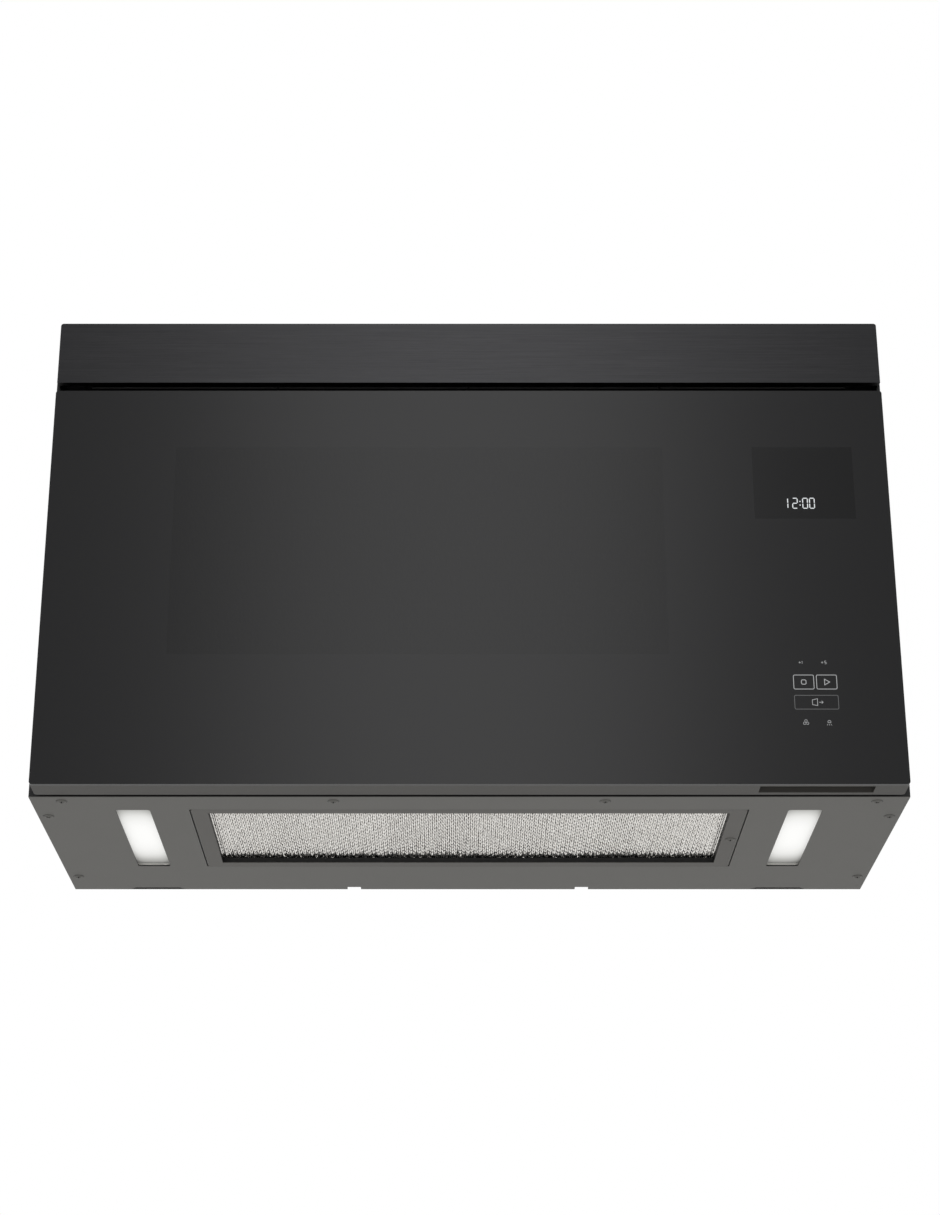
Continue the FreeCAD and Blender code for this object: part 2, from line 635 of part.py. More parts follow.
# The outer case: a top sheet laid over two side sheets and welded along their edges.
wrap_low = "base_sheet"
flange_top = "base_sheet + case_sheet"
flange_in = "case_half - case_flange"
top_sheet = body("top_sheet")
top_plan = sketch(top_sheet, "top_outline", "XY", "top_inside")
rectangle(top_plan, "-case_half", "case_half", "frame_back", "0")
pad(top_sheet, top_plan, "case_sheet")
soften(top_sheet, "top_edges", "case_bend",
       lambda e: runs(e, "y") and near(middle(e).z, number_of("case_high")))
top_holes = sketch(top_sheet, "top_holes", "XY", "case_high")
rectangle(top_holes, "-duct_wide / 2", "duct_wide / 2", "duct_y - duct_deep / 2", "duct_y + duct_deep / 2")
for side in ("-", ""):
    ring(top_holes, f"{side}bolt_space / 2", "bolt_y", "bolt_hole")
ring(top_holes, "cord_x", "cord_y", "cord_hole")
pocket(top_sheet, top_holes, "4 * case_sheet")
left_sheet = box("left_sheet", ("-case_half", "frame_back", wrap_low), ("-side_inside", "0", "top_inside"))
right_sheet = box("right_sheet", ("side_inside", "frame_back", wrap_low), ("case_half", "0", "top_inside"))
node("outer_case", group("outer_case_group", [top_sheet, left_sheet, right_sheet]))

# Two flat rails welded inside the sides, which take the screws of the underside.
base_rails = []
for name, side, left, right in (
    ("left", "-", "-side_inside", f"-({flange_in})"),
    ("right", "", flange_in, "side_inside"),
):
    strip = body(f"{name}_base_rail")
    strip_plan = sketch(strip, f"{name}_rail_outline", "XY", wrap_low)
    rectangle(strip_plan, left, right, "frame_back", "0")
    for across, back in FLANGE_SCREWS:
        polygon(strip_plan, side + across, back, "screw_shank + screw_fit", SCREW_SIDES)
    pad(strip, strip_plan, "case_sheet")
    base_rails.append(strip)
node("base_rails", group("base_rail_group", base_rails))

# The underside panel, with its filter opening, its two light windows and its rear notches.
base = body("underside")
floor_plan = sketch(base, "underside_outline", "XY", "0")
notch_in = "tab_place - tab_wide / 2"
notch_out = "tab_place + tab_wide / 2"
outline(floor_plan, [
    ("-case_half", "case_front"), ("case_half", "case_front"), ("case_half", "0"),
    (notch_out, "0"), (notch_out, "-tab_deep"), (notch_in, "-tab_deep"), (notch_in, "0"),
    (f"-({notch_in})", "0"), (f"-({notch_in})", "-tab_deep"),
    (f"-({notch_out})", "-tab_deep"), (f"-({notch_out})", "0"), ("-case_half", "0"),
])
pad(base, floor_plan, "base_sheet")
for name, left, right in (
    ("left", "-case_half + case_flange + back_fit", f"-({notch_out})"),
    ("middle", f"-({notch_in})", notch_in),
    ("right", notch_out, "case_half - case_flange - back_fit"),
):
    rear = sketch(base, f"rear_flange_{name}", "XZ", "0")
    rectangle(rear, left, right, "0", "rear_flange")
    pad(base, rear, "base_sheet")
openings = sketch(base, "underside_openings", "XY", "0")
rectangle(openings, "-filter_half - filter_seam", "filter_half + filter_seam",
          "filter_front - filter_seam / 2", "filter_rear + filter_seam / 2")
for side in ("-", ""):
    near_end = f"{side}(light_place - light_wide / 2)"
    far_end = f"{side}(light_place + light_wide / 2)"
    rectangle(openings, near_end, far_end, "light_front", "light_rear")
    inner = f"{side}(slot_place - slot_wide / 2)"
    outer = f"{side}(slot_place + slot_wide / 2)"
    outline(openings, [
        (inner, "-base_sheet"), (outer, "-base_sheet"),
        (f"{side}(slot_place + slot_wide / 2 - slot_taper)", "-base_sheet - slot_deep"),
        (f"{side}(slot_place - slot_wide / 2 + slot_taper)", "-base_sheet - slot_deep"),
    ])
pocket(base, openings, "4 * base_sheet")
screw_holes = sketch(base, "underside_screw_holes", "XY", "0")
for across, back in SCREWS:
    for side in ("-", ""):
        polygon(screw_holes, side + across, back, "screw_shank + screw_fit", SCREW_SIDES)
pocket(base, screw_holes, "4 * base_sheet")
soften(base, "light_corners", "light_corner",
       lambda e: runs(e, "z") and near(e.Length, number_of("base_sheet"))
       and abs(middle(e).x) > number_of("light_place - light_wide")
       and number_of("light_front - 1") < middle(e).y < number_of("light_rear + 1")
       and abs(middle(e).x) < number_of("light_place + light_wide"))
soften(base, "front_bend", "base_bend",
       lambda e: runs(e, "x") and near(middle(e).z, 0) and near(middle(e).y, number_of("case_front")))
node("base_plate", base)

# The back panel: a shallow tray set in from the wall, whose lips run forward beside the case.
tray = box("back_tray", ("-side_inside + back_fit", "back_front - back_lip", "base_sheet + case_sheet + back_fit"),
           ("side_inside - back_fit", "-back_recess", "top_inside"))
hollow = box("back_hollow", ("-side_inside + back_fit + back_sheet", "back_front - back_lip - 1",
                             "base_sheet + case_sheet + back_fit + back_sheet"),
             ("side_inside - back_fit - back_sheet", "back_front", "top_inside - back_sheet"))
cooling = []
for index in range(6):
    low = f"cooling_low + {index} * cooling_pitch"
    cooling.append(box(f"cooling_slot_{index}", ("cooling_left", "back_front - 1", low),
                       ("cooling_right", "0", f"({low}) + cooling_high")))
node("back_panel", cut("back", tray, [hollow] + cooling))

# The face frame behind the door: oven opening, latch slots, vent opening and bracket holes.
face = body("face")
front = sketch(face, "face_outline", "XZ", "-frame_back")
rectangle(front, "-case_half", "case_half", "base_sheet", "case_high")
pad(face, front, "frame_sheet")
holes = sketch(face, "face_openings", "XZ", "-frame_back")
rectangle(holes, "cavity_left", "cavity_right", "cavity_floor", "cavity_roof")
pocket(face, holes, "4 * frame_sheet")
soften(face, "oven_corners", "cavity_corner - cavity_sheet",
       lambda e: runs(e, "y") and number_of("cavity_left - 1") < middle(e).x < number_of("cavity_right + 1"))
vents = sketch(face, "face_vents", "XZ", "-frame_back")
rectangle(vents, "-grille_half + grille_rim", "grille_half - grille_rim",
          "grille_low + grille_rim", "grille_low + grille_high - grille_rim")
for height in ("hook_low", "hook_top"):
    rectangle(vents, "hook_x - hook_thick / 2 - hook_side", "hook_x + hook_thick / 2 + hook_side",
              f"{height} - barb_deep - keeper_gap", f"{height} + hook_high + hook_head")
pocket(face, vents, "4 * frame_sheet")
soften(face, "face_corners", "case_bend",
       lambda e: runs(e, "y") and near(middle(e).z, number_of("case_high")))
rail = sketch(face, "face_rail", "XY", "base_sheet")
rectangle(rail, f"-({flange_in}) + back_fit", f"{flange_in} - back_fit", "frame_back", "frame_back + rail_deep")
for side in ("-", ""):
    polygon(rail, f"{side}front_inner_x", "front_inner_y", "screw_shank + screw_fit", SCREW_SIDES)
pad(face, rail, "frame_sheet")
node("face_frame", face)

# ---------------------------------------------------------------- trim and grille

trim_round = rounded("trim_rounded",
                     ("-trim_half", "trim_front", "trim_low"), ("trim_half", "case_front", "case_high"),
                     "trim_corner", lambda e: runs(e, "y") and near(middle(e).z, number_of("case_high")))
trim_hollow = box("trim_hollow",
                  ("-trim_half + trim_sheet", "trim_front + trim_sheet", "trim_low + trim_sheet"),
                  ("trim_half - trim_sheet", "case_front + 1", "case_high - trim_sheet"))
trim_mouth = box("trim_mouth",
                 ("-trim_half + trim_sheet", "trim_front + trim_sheet + trim_lip", "trim_low - 1"),
                 ("trim_half - trim_sheet", "case_front + 1", "trim_low + 2 * trim_sheet"))
node("front_trim", cut("trim", trim_round, [trim_hollow, trim_mouth]))

grille_outer = box("grille_outer", ("-grille_half", "case_front - grille_deep", "grille_low"),
                   ("grille_half", "case_front", "grille_low + grille_high"))
grille_inner = box("grille_inner",
                   ("-grille_half + grille_rim", "case_front - grille_deep - 1", "grille_low + grille_rim"),
                   ("grille_half - grille_rim", "case_front + 1", "grille_low + grille_high - grille_rim"))
GRILLE_BAYS = 4
grille_parts = [cut("grille_rim_piece", grille_outer, [grille_inner])]
blade_count = int(number_of("(grille_high - 2 * grille_rim) / grille_pitch"))
for index in range(blade_count):
    blade = doc.addObject("Part::Box", f"grille_blade_{index}")
    bind(blade, "Length", "2 * grille_half - grille_rim")
    bind(blade, "Width", "grille_deep / cos(grille_tilt) - 2 * grille_blade")
    bind(blade, "Height", "grille_blade")
    blade.Placement = FreeCAD.Placement(Vector(), FreeCAD.Rotation(Vector(1, 0, 0), number_of("grille_tilt")))
    bind(blade, "Placement.Base.x", "-grille_half + grille_rim / 2")
    bind(blade, "Placement.Base.y", "case_front - grille_deep + grille_blade")
    bind(blade, "Placement.Base.z", f"grille_low + grille_rim + grille_blade + {index} * grille_pitch")
    grille_parts.append(blade)
for index in range(1, GRILLE_BAYS):
    across = f"-grille_half + {index} * 2 * grille_half / {GRILLE_BAYS}"
    grille_parts.append(box(f"grille_rib_{index}",
                            (f"{across} - grille_blade / 2", "case_front - grille_deep", "grille_low"),
                            (f"{across} + grille_blade / 2", "case_front", "grille_low + grille_high")))
node("vent_grille", fuse("grille", grille_parts))

# ---------------------------------------------------------------- oven

# The oven is a wrap bent round four long edges, with a flat rear wall welded in.
oven_out = rounded("oven_outside",
                   ("cavity_left - cavity_sheet", "frame_back", "oven_under"),
                   ("oven_side", "oven_rear + cavity_sheet", "oven_over"),
                   "cavity_corner", lambda e: runs(e, "y"))
oven_in = rounded("oven_inside",
                  ("cavity_left", "frame_back - cavity_corner", "cavity_floor"),
                  ("cavity_right", "oven_rear", "cavity_roof"),
                  "cavity_corner - cavity_sheet", lambda e: runs(e, "y"))
oven_ports = [prism("antenna_port", ("antenna_x", "antenna_y", "oven_under - 1"), "z", "4 * cavity_sheet",
                    "port_radius", PORT_SIDES)]
for across in range(-1, 2):
    for up in range(-1, 2):
        oven_ports.append(prism(f"lamp_port_{across + 1}_{up + 1}",
                                ("cavity_right - 1", f"lamp_y + {across} * lamp_pitch",
                                 f"lamp_z + {up} * lamp_pitch"),
                                "x", "4 * cavity_sheet", "lamp_hole", POST_SIDES))
node("oven_cavity", cut("oven", oven_out, [oven_in] + oven_ports))

ledge_outer = box("ledge_outer",
                  ("cavity_left + cavity_corner", "frame_back + ceramic_fit", "cavity_floor"),
                  ("cavity_right - cavity_corner", "oven_rear - cavity_corner", "ceramic_low"))
ledge_inner = box("ledge_inner",
                  ("cavity_left + cavity_corner + ledge_wide", "frame_back + ledge_wide", "cavity_floor - 1"),
                  ("cavity_right - cavity_corner - ledge_wide", "oven_rear - cavity_corner - ledge_wide",
                   "ceramic_low + 1"))
node("floor_ledge", cut("ledge", ledge_outer, [ledge_inner]))
node("ceramic_floor",
     rounded("ceramic", ("cavity_left + ceramic_fit", "frame_back + ceramic_fit", "ceramic_low"),
             ("cavity_right - ceramic_fit", "oven_rear - ceramic_fit", "ceramic_top"), "cavity_corner",
             lambda e: runs(e, "z") and middle(e).y > number_of("oven_rear - cavity_corner")))

# ---------------------------------------------------------------- microwave source

guide_front = "antenna_y - guide_wide / 2"
guide_rear = "antenna_y + guide_wide / 2"
guide_left = "antenna_x - guide_wide / 2"
guide_out = box("guide_outside", (guide_left, guide_front, "guide_low"), ("guide_right", guide_rear, "oven_under"))
guide_in = box("guide_inside", (f"{guide_left} + guide_sheet", f"{guide_front} + guide_sheet",
                                "guide_low + guide_sheet"),
               ("guide_right - guide_sheet", f"{guide_rear} - guide_sheet", "oven_under - guide_sheet"))
guide_port = prism("guide_port", ("antenna_x", "antenna_y", "guide_low - 1"), "z", "guide_high + 2",
                   "port_radius", PORT_SIDES)
tube_port = prism("tube_port", ("tube_x", "antenna_y", "oven_under - 2 * guide_sheet"), "z", "4 * guide_sheet",
                  "port_radius", PORT_SIDES)
node("waveguide", cut("guide", guide_out, [guide_in, guide_port, tube_port]))

FINS = 6
tube_half = "tube_wide / 2"
tube_parts = [
    box("tube_yoke", (f"tube_x - {tube_half}", f"antenna_y - {tube_half}", "oven_under"),
        (f"tube_x + {tube_half}", f"antenna_y + {tube_half}", "oven_under + tube_yoke")),
    box("tube_top", (f"tube_x - {tube_half}", f"antenna_y - {tube_half}", "oven_under + tube_high - tube_yoke"),
        (f"tube_x + {tube_half}", f"antenna_y + {tube_half}", "oven_under + tube_high")),
    prism("tube_anode", ("tube_x", "antenna_y", "guide_low + guide_high / 2"), "z",
          "tube_high + guide_high / 2", "port_radius - 2", PORT_SIDES),
    prism("tube_core", ("tube_x", "antenna_y", "oven_under"), "z", "tube_high", "1.2 * port_radius", PORT_SIDES),
]
for index in range(FINS):
    level = f"oven_under + tube_yoke + ({index} + 1) * (tube_high - 2 * tube_yoke) / ({FINS} + 1)"
    tube_parts.append(box(f"tube_fin_{index}",
                          (f"tube_x - {tube_half} + tube_yoke", f"antenna_y - {tube_half} + tube_yoke", level),
                          (f"tube_x + {tube_half} - tube_yoke", f"antenna_y + {tube_half} - tube_yoke",
                           f"({level}) + fin_thick")))
for side, start in (("left", f"tube_x - {tube_half}"), ("right", f"tube_x + {tube_half} - tube_yoke")):
    tube_parts.append(box(f"tube_{side}_wall", (start, f"antenna_y - {tube_half}", "oven_under"),
                          (f"{start} + tube_yoke", f"antenna_y + {tube_half}", "oven_under + tube_high")))
node("magnetron", fuse("tube", tube_parts))

# The antenna turns under the ceramic floor; its shaft comes up from a motor under the waveguide.
motor_top = "guide_low"
motor_block = prism("antenna_motor_can", ("antenna_x", "antenna_y", f"{motor_top} - motor_high"), "z",
                    "motor_high", "motor_radius", CAN_SIDES)
motor_ears = box("antenna_motor_ears",
                 ("antenna_x - 1.4 * motor_radius", "antenna_y - motor_radius / 3", f"{motor_top} - 1.5"),
                 ("antenna_x + 1.4 * motor_radius", "antenna_y + motor_radius / 3", motor_top))
motor_bore = rod("antenna_motor_bore", ("antenna_x", "antenna_y", f"{motor_top} - motor_high / 2"), "z",
                 "motor_high", "shaft_radius + shaft_fit")
node("antenna_motor", cut("antenna_motor_cut", fuse("antenna_motor_body", [motor_block, motor_ears]), [motor_bore]))

antenna = body("antenna")
disc_low = "cavity_floor + antenna_lift"
disc = sketch(antenna, "antenna_disc", "XY", disc_low)
polygon(disc, "antenna_x", "antenna_y", "antenna_radius", DISC_SIDES)
pad(antenna, disc, "antenna_thick")
spindle = sketch(antenna, "antenna_shaft", "XY", f"{motor_top} - motor_high / 2 + shaft_fit")
ring(spindle, "antenna_x", "antenna_y", "shaft_radius")
pad(antenna, spindle, f"({disc_low}) - ({motor_top}) + motor_high / 2 - shaft_fit")
slots = sketch(antenna, "antenna_slots", "XY", disc_low)
for start, end in (("0.35", "0.55"), ("-0.6", "-0.35")):
    rectangle(slots, "antenna_x - 0.5 * antenna_radius", "antenna_x + 0.5 * antenna_radius",
              f"antenna_y + {start} * antenna_radius", f"antenna_y + {end} * antenna_radius")
polygon(slots, "antenna_x + 0.7 * antenna_radius", "antenna_y", "0.14 * antenna_radius", PORT_SIDES)
pocket(antenna, slots, "4 * antenna_thick")
node("rotating_antenna", antenna)

# ---------------------------------------------------------------- electrics bay

shelf_front = "antenna_y - 0.7 * guide_wide"
shelf_plate = box("shelf_plate", ("oven_side", shelf_front, "shelf_level"),
                  ("side_inside", "back_front", "shelf_level + shelf_sheet"))
shelf_lip = box("shelf_lip", ("oven_side", shelf_front, "shelf_level - shelf_lip_deep"),
                ("side_inside", f"{shelf_front} + shelf_sheet", "shelf_level"))
shelf_notch = box("shelf_notch",
                  ("side_inside - 2 * back_fit - back_sheet", "back_front - back_lip - back_fit", "shelf_level - 1"),
                  ("case_half", "0", "shelf_level + shelf_sheet + 1"))
node("component_shelf", cut("shelf", fuse("shelf_whole", [shelf_plate, shelf_lip]), [shelf_notch]))

shelf_top = "shelf_level + shelf_sheet"
core = box("transformer_core", ("transformer_x - core_wide / 2", "transformer_y - core_deep / 2", shelf_top),
           ("transformer_x + core_wide / 2", "transformer_y + core_deep / 2", f"{shelf_top} + core_high"))
winding = rounded("transformer_winding",
                  ("transformer_x - winding_wide / 2", "transformer_y - winding_deep / 2",
                   f"{shelf_top} + winding_lift"),
                  ("transformer_x + winding_wide / 2", "transformer_y + winding_deep / 2",
                   f"{shelf_top} + winding_lift + winding_high"),
                  "winding_corner", lambda e: runs(e, "z"))
node("power_transformer", fuse("transformer", [core, winding]))
can = prism("capacitor_can", ("capacitor_x", "capacitor_y", shelf_top), "z", "capacitor_high",
            "capacitor_radius", CAN_SIDES)
posts = [prism(f"capacitor_post_{i}", (f"capacitor_x + {side} * capacitor_radius / 2", "capacitor_y",
                                     f"{shelf_top} + capacitor_high - 1"), "z", "post_high + 1", "post_radius",
               POST_SIDES)
         for i, side in enumerate((-1, 1))]
node("power_capacitor", fuse("capacitor", [can] + posts))

tray_piece = box("board_tray_piece", ("side_inside - tray_deep", "board_front", "board_low"),
                 ("side_inside", "board_rear", "board_high"))
tray_space = box("board_tray_space",
                 ("side_inside - tray_deep - 1", "board_front + tray_wall", "board_low + tray_wall"),
                 ("side_inside - tray_wall", "board_rear - tray_wall", "board_high - tray_wall"))
board_posts = []
for i, y in enumerate(("board_front + board_post_in", "board_rear - board_post_in")):
    for j, z in enumerate(("board_low + board_post_in", "board_high - board_post_in")):
        board_posts.append(prism(f"board_post_{i}_{j}", ("side_inside - board_off", y, z), "x",
                                 "board_off - tray_wall / 2", "board_post", POST_SIDES))
node("board_tray", fuse("board_tray_whole", [cut("board_tray_open", tray_piece, [tray_space])] + board_posts))
board_face = "side_inside - board_off - board_thick"
board_edge = "tray_wall + board_fit"
board_parts = [box("board_plate", (board_face, f"board_front + {board_edge}", f"board_low + {board_edge}"),
                   ("side_inside - board_off", f"board_rear - ({board_edge})", f"board_high - ({board_edge})"))]

# What stands on the power board, as its place along and up the board, then how far it stands out,
# how long and how high it is: a relay, a capacitor, a small transformer, a connector and a second relay.
COMPONENTS = [(14, 20, 18, 24, 20), (50, 14, 15, 18, 30), (84, 18, 20, 30, 26), (20, 70, 12, 40, 14),
              (76, 66, 22, 22, 22)]
for i, (y, z, deep, wide, high) in enumerate(COMPONENTS):
    board_parts.append(box(f"board_component_{i}",
                           (f"{board_face} - {deep}", f"board_front + {y}", f"board_low + {z}"),
                           (board_face, f"board_front + {y + wide}", f"board_low + {z + high}")))
node("power_board", fuse("board", board_parts))

# The fan blows forward through the magnetron's fins; its shroud hangs from the shelf.
fan_front = "fan_y - fan_deep / 2"
shroud = rounded("fan_shroud_block", ("tube_x - fan_square / 2", fan_front, "shelf_level - fan_square"),
                 ("tube_x + fan_square / 2", "fan_y + fan_deep / 2", "shelf_level"), "shroud_corner",
                 lambda e: runs(e, "y") and middle(e).z < number_of("shelf_level - 1"))
fan_z = "shelf_level - fan_square / 2"
tunnel = rod("fan_tunnel", ("tube_x", f"{fan_front} - 1", fan_z), "y", "fan_deep + 2", "fan_radius + fan_gap")
spider = box("fan_spider",
             ("tube_x - fan_radius - 2 * fan_gap", "fan_y + fan_deep / 2 - spider_thick",
              f"{fan_z} - spider_wide / 2"),
             ("tube_x + fan_radius + 2 * fan_gap", "fan_y + fan_deep / 2", f"{fan_z} + spider_wide / 2"))
fan_bore = rod("fan_bore", ("tube_x", "fan_y + fan_deep / 2 - 5", fan_z), "y", "15", "shaft_radius + shaft_fit")
node("fan_shroud", cut("fan_shroud_cut",
                       fuse("fan_shroud_whole", [cut("fan_shroud_open", shroud, [tunnel]), spider]), [fan_bore]))
fan_core = box("fan_core",
               ("tube_x - fan_motor_side / 2", "fan_y + fan_deep / 2", f"{fan_z} - fan_motor_side / 2"),
               ("tube_x + fan_motor_side / 2", "fan_y + fan_deep / 2 + fan_motor_long / 2",
                f"{fan_z} + fan_motor_side / 2"))
fan_coil = box("fan_coil",
               ("tube_x - fan_motor_side / 4", "fan_y + fan_deep / 2", f"{fan_z} - fan_motor_side / 4"),
               ("tube_x + fan_motor_side / 4", "fan_y + fan_deep / 2 + fan_motor_long",
                f"{fan_z} + fan_motor_side / 4"))
node("fan_motor", cut("fan_motor_cut", fuse("fan_motor_whole", [fan_core, fan_coil]), [fan_bore]))

def wheel_blades(piece, name, inner, outer, thick, sweep, length, count):
    """Folded blades round the origin: one blade of two flats, padded and repeated."""
    drawing = sketch(piece, name, "XY", "0")
    r_in, r_out, wall = number_of(inner), number_of(outer), number_of(thick)
    bend = math.radians(number_of(sweep))

    def spot(radius, angle):
        return Vector(radius * math.cos(angle), radius * math.sin(angle), 0)

    r_mid = (r_in + r_out) / 2
    spots = [spot(r_in, 0), spot(r_mid, bend * 0.35), spot(r_out, bend), spot(r_out, bend + wall / r_out),
             spot(r_mid, bend * 0.35 + wall / r_mid), spot(r_in, wall / r_in)]
    for here, there in zip(spots, spots[1:] + spots[:1]):
        drawing.addGeometry(Part.LineSegment(here, there), False)
    blade = pad(piece, drawing, length)
    doc.recompute()
    pattern = piece.newObject("PartDesign::PolarPattern", name + "_pattern")
    pattern.Originals = [blade]
    pattern.Axis = (drawing, ["N_Axis"])
    pattern.Angle = 360
    pattern.Occurrences = count
    piece.Tip = pattern


def wheel(name, along, centre, length, outer, inner, blades, sweep, plate, hub, bore=None):
    """A squirrel-cage or axial wheel about an axis along X or Y, made at the origin and then placed."""
    piece = body(name)
    disc = sketch(piece, name + "_plate", "XY", "0")
    if bore:
        polygon(disc, "0", "0", outer, 2 * blades)
    else:
        ring(disc, "0", "0", inner)
    pad(piece, disc, plate)
    wheel_blades(piece, name + "_blade", inner, outer, "blade_thick", sweep, length, blades)
    boss = sketch(piece, name + "_hub", "XY", "0")
    ring(boss, "0", "0", hub)
    pad(piece, boss, f"({length}) / 2" if bore else length)
    if bore:
        rim = sketch(piece, name + "_rim", "XY", f"({length}) - ({plate})")
        polygon(rim, "0", "0", outer, 2 * blades)
        polygon(rim, "0", "0", inner, 2 * blades)
        pad(piece, rim, plate)
        hole = sketch(piece, name + "_bore", "XY", "0")
        ring(hole, "0", "0", bore)
        pocket(piece, hole, f"2 * ({length})")
    piece.Placement = FreeCAD.Placement(Vector(), TURNS[along])
    for axis, place in zip("xyz", centre):
        bind(piece, f"Placement.Base.{axis}", place)
    return piece


fan = wheel("fan_wheel", "y", ("tube_x", "fan_y - fan_deep / 2 + 4", fan_z), "fan_blade_deep",
            "fan_radius", "fan_hub", 7, "fan_sweep", "fan_blade_deep", "fan_hub")
fan_shaft = sketch(fan, "fan_shaft", "XY", "fan_blade_deep")
ring(fan_shaft, "0", "0", "shaft_radius")
pad(fan, fan_shaft, "fan_deep + 4 - fan_blade_deep")
node("cooling_fan", fan)

# ---------------------------------------------------------------- hood blower

# Each scroll is an eccentric drum with a tangential mouth, round its own wheel; the motor is between.
blower_ends = {
    "left": ("-blower_half", "-motor_half - scroll_gap"),
    "right": ("motor_half + scroll_gap", "blower_half"),
}
drum_y = "blower_y - scroll_step"
drum_z = "blower_z"
scrolls = []
scroll_spaces = []
for side, (start, end) in blower_ends.items():
    length = f"({end}) - ({start})"
    scrolls.append(rod(f"scroll_{side}", (start, drum_y, drum_z), "x", length, "scroll_radius + scroll_wall"))
    scrolls.append(box(f"mouth_{side}", (start, f"{drum_y} + scroll_radius + scroll_wall - mouth_deep", drum_z),
                       (end, f"{drum_y} + scroll_radius + scroll_wall", "top_inside")))
    scrolls.append(box(f"scroll_foot_{side}", (start, f"{drum_y} - 0.6 * scroll_radius", "oven_over"),
                       (end, f"{drum_y} + 0.6 * scroll_radius", f"{drum_z} - 0.6 * scroll_radius")))
    inside = (f"({start}) + scroll_wall", f"({end}) - scroll_wall")
    scroll_spaces.append(rod(f"scroll_space_{side}", (inside[0], drum_y, drum_z), "x",
                             f"({length}) - 2 * scroll_wall", "scroll_radius"))
    scroll_spaces.append(box(f"mouth_space_{side}",
                             (inside[0], f"{drum_y} + scroll_radius + 2 * scroll_wall - mouth_deep", drum_z),
                             (inside[1], f"{drum_y} + scroll_radius", "top_inside + 1")))
    scroll_spaces.append(prism(f"inlet_{side}", (f"({start}) - 1", "blower_y", drum_z), "x",
                               f"({length}) + 2", "inlet_radius", CAN_SIDES))
bridge = box("blower_bridge", ("-motor_half - scroll_gap - 1", f"{drum_y} - 30", "oven_over"),
             ("motor_half + scroll_gap + 1", f"{drum_y} + 30", "oven_over + 2"))
node("blower_housing", cut("blower_housing_cut", fuse("blower_housing_whole", scrolls + [bridge]), scroll_spaces))

motor = prism("blower_motor_can", ("-motor_half", "blower_y", "blower_z"), "x", "2 * motor_half",
              "blower_motor_radius", DISC_SIDES)
saddle = box("blower_motor_saddle", ("-0.7 * motor_half", "blower_y - 18", "oven_over + 2"),
             ("0.7 * motor_half", "blower_y + 18", "blower_z - 0.7 * blower_motor_radius"))
motor_bore = rod("blower_motor_bore", ("-motor_half - 1", "blower_y", "blower_z"), "x", "2 * motor_half + 2",
                 "axle_radius + shaft_fit")
node("blower_motor", cut("blower_motor_cut", fuse("blower_motor_whole", [motor, saddle]), [motor_bore]))
WHEEL_BLADES = 18
wheel_long = "blower_half - motor_half - scroll_gap - 2 * scroll_wall - 2 * wheel_gap"
for side, start in (("left", "-blower_half + scroll_wall + wheel_gap"),
                    ("right", "motor_half + scroll_gap + scroll_wall + wheel_gap")):
    node(f"blower_wheel_{side}",
         wheel(f"wheel_{side}", "x", (start, "blower_y", "blower_z"), wheel_long,
               "wheel_radius", "wheel_inner", WHEEL_BLADES, "wheel_sweep", "wheel_plate", "wheel_hub",
               "axle_radius"))
node("blower_shaft", rod("blower_axle", ("-blower_half + scroll_wall + wheel_gap", "blower_y", "blower_z"), "x",
                         "2 * (blower_half - scroll_wall - wheel_gap)", "axle_radius"))

charcoal = box("charcoal_block", ("-charcoal_half", "frame_back", "oven_over"),
               ("charcoal_half", "frame_back + charcoal_deep", "oven_over + charcoal_high"))
cells = []
for index in range(8):
    across = f"-charcoal_half + charcoal_edge + {index} * (2 * charcoal_half - charcoal_edge) / 8"
    cells.append(box(f"charcoal_cell_{index}", (across, "frame_back - 1", "grille_low + grille_rim"),
                     (f"{across} + (2 * charcoal_half - charcoal_edge) / 8 - charcoal_edge",
                      "frame_back + charcoal_deep / 3", "oven_over + charcoal_high - charcoal_edge")))
node("charcoal_filter", cut("charcoal", charcoal, cells))

# ---------------------------------------------------------------- exhaust

collar_front = "duct_y - collar_deep / 2"
collar_rear = "duct_y + collar_deep / 2"
collar = box("collar_wall", ("-collar_wide / 2", collar_front, "case_high"),
             ("collar_wide / 2", collar_rear, "case_high + collar_high"))
collar_plate = box("collar_plate", ("-collar_wide / 2 - collar_end", f"{collar_front} - collar_lap", "case_high"),
                   ("collar_wide / 2 + collar_end", f"{collar_rear} + collar_lap", "case_high + collar_sheet"))
collar_space = box("collar_space",
                   ("-collar_wide / 2 + collar_sheet", f"{collar_front} + collar_sheet", "case_high - 1"),
                   ("collar_wide / 2 - collar_sheet", f"{collar_rear} - collar_sheet",
                    "case_high + collar_high + 1"))
flap_y = f"{collar_front} + collar_sheet + flap_pin + 2"
flap_z = "case_high + collar_high / 2"
flap_holes = rod("flap_holes", ("-collar_wide / 2 - 1", flap_y, flap_z), "x", "collar_wide + 2",
                 "flap_pin + shaft_fit")
node("exhaust_collar", cut("collar", fuse("collar_whole", [collar, collar_plate]), [collar_space, flap_holes]))
flap_inside = "collar_wide / 2 - collar_sheet - flap_fit"
flap = box("flap_plate", (f"-({flap_inside})", flap_y, f"{flap_z} - flap_sheet / 2"),
           (flap_inside, f"{collar_rear} - collar_sheet - flap_fit", f"{flap_z} + flap_sheet / 2"))
flap_rod = rod("flap_rod", ("-collar_wide / 2", flap_y, flap_z), "x", "collar_wide", "flap_pin")
node("exhaust_damper", fuse("damper", [flap, flap_rod]))

